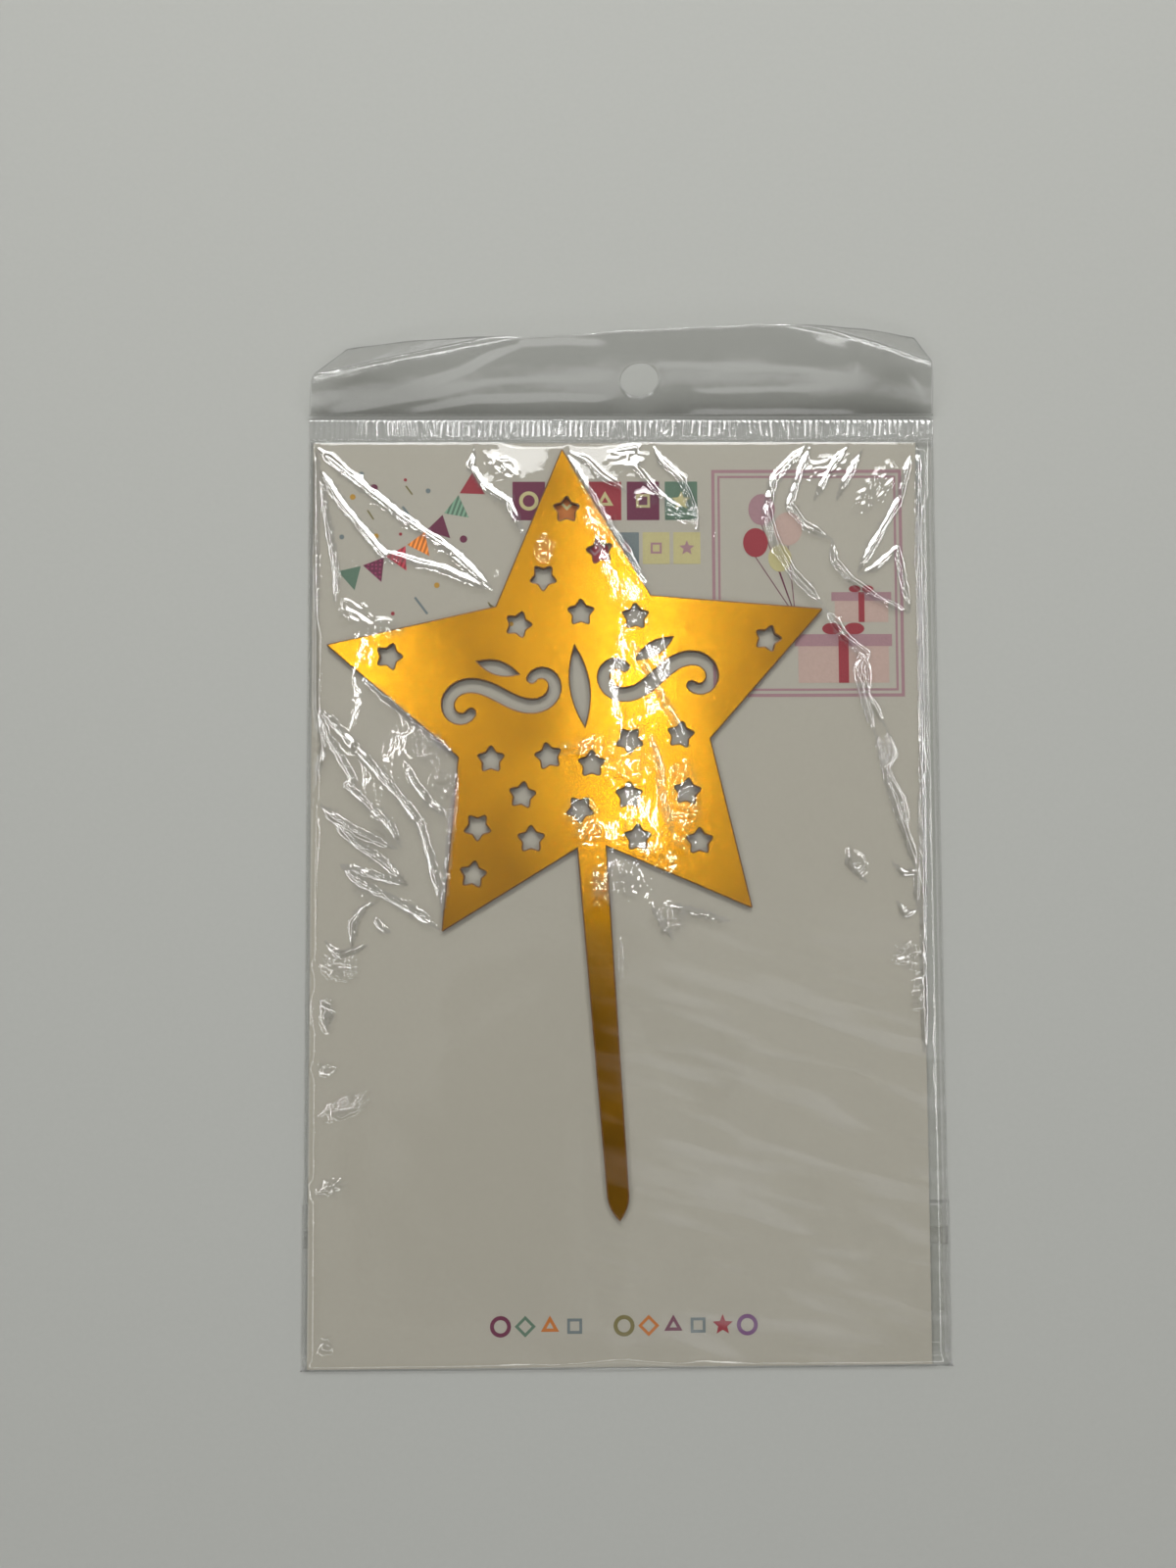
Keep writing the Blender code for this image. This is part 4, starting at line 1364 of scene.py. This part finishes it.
def header_places(x, run, width):
    """Where points of the flat header lie, from its left end and its hinge."""
    columns = header_columns(width)
    across = np.clip(x / width, 0, 1) * (len(columns) - 1)
    up = np.clip(run / HEADER_FLAT, 0, 1) * HEADER_STEPS
    left = np.minimum(across.astype(int), len(columns) - 2)
    low = np.minimum(up.astype(int), HEADER_STEPS - 1)
    across = (across - left)[:, None]
    up = (up - low)[:, None]
    first = columns[left, low] * (1 - up) + columns[left, low + 1] * up
    second = columns[left + 1, low] * (1 - up) + columns[left + 1, low + 1] * up
    return first * (1 - across) + second * across


def open_hang_hole(bm, hole):
    """Cuts a square of faces out of the flat header and draws the rest round the hole."""
    gone = []
    for face in bm.faces:
        middle = face.calc_center_median() / MM - hole
        if max(abs(middle.x), abs(middle.y)) < HANG_HOLE_RADIUS:
            gone.append(face)
    bmesh.ops.delete(bm, geom=gone, context="FACES")
    for vert in bm.verts:
        offset = vert.co / MM - hole
        square = max(abs(offset.x), abs(offset.y))
        if 0 < square < 2 * HANG_HOLE_RADIUS:
            share = 2 - max(square, HANG_HOLE_RADIUS) / HANG_HOLE_RADIUS
            rounded = offset * (square / offset.length)
            offset = offset.lerp(rounded, share)
            vert.co = (hole + offset) * MM


def header_ply(name, node, low, seed):
    """One ply of the header, with its hang hole."""
    width = (HEADER_HIGH.x - HEADER_LOW.x) / MM
    bm = flat_grid(0, width * MM, 0, HEADER_FLAT * MM, HEADER_SQUARE * MM)
    middle = (width / 2 + HANG_HOLE_ASIDE, HANG_HOLE_RISE)
    squares = [round(value / HEADER_SQUARE) for value in middle]
    open_hang_hole(bm, Vector((*squares, 0)) * HEADER_SQUARE)
    x, run = points_of(bm)
    places = header_places(x, run, width)
    free = np.minimum(1.0, run / HEADER_SWAY_REACH)
    for height, scale, closer, offset in HEADER_SWAYS:
        places[:, 2] += free * height * waves(x, run * closer, scale, seed + offset)
    for vert, place in zip(bm.verts, places):
        vert.co = Vector((HEADER_LOW.x, low.y, low.z)) + Vector(place) * MM
    finish = clear_film(
        f"{name}_clear", roughness=0.13, tint_share=0.968, crinkle=0.2, shine_share=1.7
    )
    ply = new_piece(name, bm, "header", [finish], [node], True)
    thicken(ply, up=False)


class TOPPER_OT_header(Operator):
    """Makes the two plies of the hanging header"""

    bl_idname = "topper.header"
    bl_label = "Header"

    def execute(self, context):
        hinge = HEADER_AXIS
        drop = HEADER_LOW.z - BACK_PLY_LOW.z
        step = BACK_PLY_LOW.y - HEADER_LOW.y
        header_ply("header_front", "header_front_film", Vector((0, hinge.y, hinge.z)), 40.0)
        back = Vector((0, hinge.y + step, hinge.z - drop))
        header_ply("header_back", "header_back_film", back, 47.0)
        return {"FINISHED"}


# Flap: squares of the glue, and the steps of its rounded fold and how far that stands out,
# as a share of its radius
GLUE_SQUARE = 1.2
BEND_STEPS = 10
BEND_SHARE = 0.12


class TOPPER_OT_flap(Operator):
    """Makes the closing flap, its fold and its adhesive strip"""

    bl_idname = "topper.flap"
    bl_label = "Closing flap"

    def execute(self, context):
        looks = context.scene.topper_film
        finish = clear_film("flap_clear", BACK_HAZE)
        bm = flat_grid(FLAP_LOW.x, FLAP_HIGH.x, FLAP_LOW.y, FLAP_HIGH.y, looks.spacing)
        flap = new_piece("flap_sheet", bm, "flap", [finish], ["closing_flap"], True)
        thicken(flap)
        bm = flat_grid(GLUE_LOW.x, GLUE_HIGH.x, GLUE_LOW.y, GLUE_HIGH.y, GLUE_SQUARE * MM)
        bmesh.ops.translate(bm, vec=(0, 0, GLUE_LOW.z), verts=bm.verts)
        strip = new_piece(
            "glue_strip", bm, "flap", [adhesive()], ["adhesive_strip"], True
        )
        thicken(strip, thickness=GLUE_HIGH.z - GLUE_LOW.z)
        fold = self.fold(finish)
        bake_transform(fold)
        return {"FINISHED"}

    def fold(self, finish):
        """The rounded fold between the front and the flap."""
        radius = FLAP_AXIS.z
        bm = bmesh.new()
        top = Vector((FLAP_LOW.x, FLAP_AXIS.y, 2 * radius))
        vert = bm.verts.new(top)
        bmesh.ops.spin(
            bm, geom=[vert], cent=FLAP_AXIS, axis=(1, 0, 0), angle=math.pi, steps=BEND_STEPS
        )
        for vert in bm.verts:
            vert.co.y = FLAP_AXIS.y + (vert.co.y - FLAP_AXIS.y) * BEND_SHARE
        grown = bmesh.ops.extrude_edge_only(bm, edges=bm.edges[:])["geom"]
        verts = [item for item in grown if isinstance(item, bmesh.types.BMVert)]
        bmesh.ops.translate(bm, vec=(FLAP_HIGH.x - FLAP_LOW.x, 0, 0), verts=verts)
        bmesh.ops.recalc_face_normals(bm, faces=bm.faces)
        made = new_piece("flap_bend", bm, None, [finish], (), True)
        thicken(made, up=False)
        return made


# Tube lamps that run from the foot to the head of the pack: place across, two ends, and
# level as a share
TUBES = (
    (0.065, -0.03, 0.45, 1.15),
    (-0.28, 0.05, 0.37, 1.0),
    (0.80, -0.40, 0.70, 1.2),
    (-0.80, -0.60, 0.70, 1.2),
)
TUBE_WIDTH = 0.008
TUBE_HEIGHT = 1.2
# The window lamp at the head: its place and its two sizes
WINDOW_PLACE = (0.0, 0.50, 0.55)
WINDOW_SIZE = (0.50, 0.25)
# The bright ring in the sky: its angle from the zenith and half its width
RING_ANGLE = math.radians(40)
RING_HALF_WIDTH = math.radians(1.7)
# Sky levels between overhead and the horizon, as angle from the zenith in quarter turns
SKY_STOPS = ((0.0, "overhead"), (0.3, "overhead"), (0.34, 0.10), (0.80, 0.10), (0.85, "horizon"))
# The shade that stands over the camera: its direction, the angles from there where it is
# full and where it ends, and the share of the sky that it leaves
SHADE_ANGLES = (math.radians(-2), math.radians(-14))
SHADE_CORE = math.radians(7)
SHADE_EDGE = math.radians(11)
SHADE_LEVEL = 0.2

# Floor: half its width, and how far it lies below the pack
FLOOR_REACH = 3.0
FLOOR_DROP = 0.1


def add_lamp(name, place, target, size, level):
    """A rectangular lamp that looks at a point, as bright as so many white surfaces."""
    lamp = bpy.data.lights.new(name, "AREA")
    lamp.shape = "RECTANGLE"
    lamp.size, lamp.size_y = size
    lamp.energy = level * math.pi * size[0] * size[1]
    made = bpy.data.objects.new(name, lamp)
    made.location = place
    made.rotation_mode = "QUATERNION"
    made.rotation_quaternion = (Vector(target) - Vector(place)).to_track_quat("-Z", "Y")
    bpy.context.scene.collection.objects.link(made)


def sky_level(tree, angle, looks):
    """Level of the sky at an angle from the zenith, with its bright ring."""
    ramp = add_node(tree, "ShaderNodeValToRGB")
    stops = ramp.color_ramp.elements
    while len(stops) < len(SKY_STOPS):
        stops.new(0.5)
    for stop, (place, level) in zip(stops, SKY_STOPS):
        stop.position = place
        value = getattr(looks, level) if isinstance(level, str) else level
        stop.color = (value, value, value, 1)
    quarter_turns = worked_out(tree, "DIVIDE", angle, math.pi / 2, clamp=True)
    tree.links.new(quarter_turns, ramp.inputs["Fac"])
    ring = worked_out(tree, "COMPARE", angle, RING_ANGLE, RING_HALF_WIDTH)
    return worked_out(tree, "MULTIPLY_ADD", ring, looks.ring, ramp.outputs["Color"])


def sky_shade(tree, direction):
    """Share of the sky that the shade over the camera leaves."""
    towards = add_node(tree, "ShaderNodeVectorMath", operation="DOT_PRODUCT")
    aside, ahead = SHADE_ANGLES
    towards.inputs[1].default_value = Vector((math.tan(aside), math.tan(ahead), 1)).normalized()
    tree.links.new(direction, towards.inputs[0])
    edge, core = math.cos(SHADE_EDGE), math.cos(SHADE_CORE)
    return spread(tree, towards.outputs["Value"], 1.0, SHADE_LEVEL, edge, core)


def add_sky(looks):
    """A plain sky with a bright ring round its top and a shade over the camera."""
    world = bpy.data.worlds.new("Sky")
    bpy.context.scene.world = world
    world.use_nodes = True
    tree = world.node_tree
    tree.nodes.clear()
    output = add_node(tree, "ShaderNodeOutputWorld")
    sky = add_node(tree, "ShaderNodeBackground")
    direction = add_node(tree, "ShaderNodeTexCoord").outputs["Generated"]
    parts = add_node(tree, "ShaderNodeSeparateXYZ")
    tree.links.new(direction, parts.inputs["Vector"])
    angle = worked_out(tree, "ARCCOSINE", parts.outputs["Z"])
    level = sky_level(tree, angle, looks)
    strength = worked_out(tree, "MULTIPLY", level, sky_shade(tree, direction))
    tree.links.new(strength, sky.inputs["Strength"])
    tree.links.new(sky.outputs["Background"], output.inputs["Surface"])


def add_camera():
    """The camera, at the angle of a phone held almost straight over the pack."""
    camera = bpy.data.objects.new("camera", bpy.data.cameras.new("camera"))
    camera.data.lens = CAMERA_LENS
    camera.data.clip_start = 0.01
    camera.location = Vector(CAMERA_PLACE) * MM
    camera.rotation_euler = Euler([math.radians(value) for value in CAMERA_TURN])
    bpy.context.scene.collection.objects.link(camera)
    bpy.context.scene.camera = camera


class TOPPER_OT_stage(Operator):
    """Makes the pale floor, the lamps and the camera"""

    bl_idname = "topper.stage"
    bl_label = "Stage"

    def execute(self, context):
        looks = context.scene.topper_stage
        bm = flat_grid(-FLOOR_REACH, FLOOR_REACH, -FLOOR_REACH, FLOOR_REACH, 1)
        bmesh.ops.translate(bm, vec=(0, 0, -FLOOR_DROP * MM), verts=bm.verts)
        floor = new_piece("floor", bm, None, [floor_matt()])
        add_sky(looks)
        for i, (across, low, high, share) in enumerate(TUBES):
            place = Vector((across, (low + high) / 2, TUBE_HEIGHT))
            below = (place.x, place.y, 0)
            add_lamp(f"tube_{i + 1}", place, below, (TUBE_WIDTH, high - low), looks.tubes * share)
        add_lamp("window", WINDOW_PLACE, (0, 0, 0), WINDOW_SIZE, looks.window)
        add_camera()
        context.scene.view_settings.view_transform = "Standard"
        context.scene.cycles.transparent_max_bounces = 16
        return {"FINISHED"}


STEPS = (
    TOPPER_OT_sheet,
    TOPPER_OT_card,
    TOPPER_OT_bunting,
    TOPPER_OT_confetti,
    TOPPER_OT_tiles,
    TOPPER_OT_picture,
    TOPPER_OT_marks,
    TOPPER_OT_front_film,
    TOPPER_OT_back_film,
    TOPPER_OT_welds,
    TOPPER_OT_seal,
    TOPPER_OT_header,
    TOPPER_OT_flap,
    TOPPER_OT_stage,
)


class TOPPER_PT_panel(Panel):
    """Lists the pieces of the pack."""

    bl_idname = "TOPPER_PT_panel"
    bl_label = "Topper pack"
    bl_space_type = "VIEW_3D"
    bl_region_type = "UI"
    bl_category = "Topper pack"

    def draw(self, context):
        for name, group in LOOKS.items():
            box = self.layout.box()
            for field in group.__annotations__:
                box.prop(getattr(context.scene, name), field)
        for step in STEPS:
            self.layout.operator(step.bl_idname)


LOOKS = {
    "topper_film": FilmLooks,
    "topper_gold": GoldLooks,
    "topper_card": CardLooks,
    "topper_stage": StageLooks,
}


def register():
    """Adds the looks, the operators and the panel."""
    for name, group in LOOKS.items():
        bpy.utils.register_class(group)
        setattr(bpy.types.Scene, name, PointerProperty(type=group))
    for step in STEPS:
        bpy.utils.register_class(step)
    bpy.utils.register_class(TOPPER_PT_panel)


def unregister():
    """Takes them away again."""
    bpy.utils.unregister_class(TOPPER_PT_panel)
    for step in reversed(STEPS):
        bpy.utils.unregister_class(step)
    for name, group in LOOKS.items():
        delattr(bpy.types.Scene, name)
        bpy.utils.unregister_class(group)


def main():
    """Dresses the pack."""
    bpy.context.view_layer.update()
    register()
    for step in STEPS:
        family, name = step.bl_idname.split(".")
        getattr(getattr(bpy.ops, family), name)()


if __name__ == "__main__":
    main()
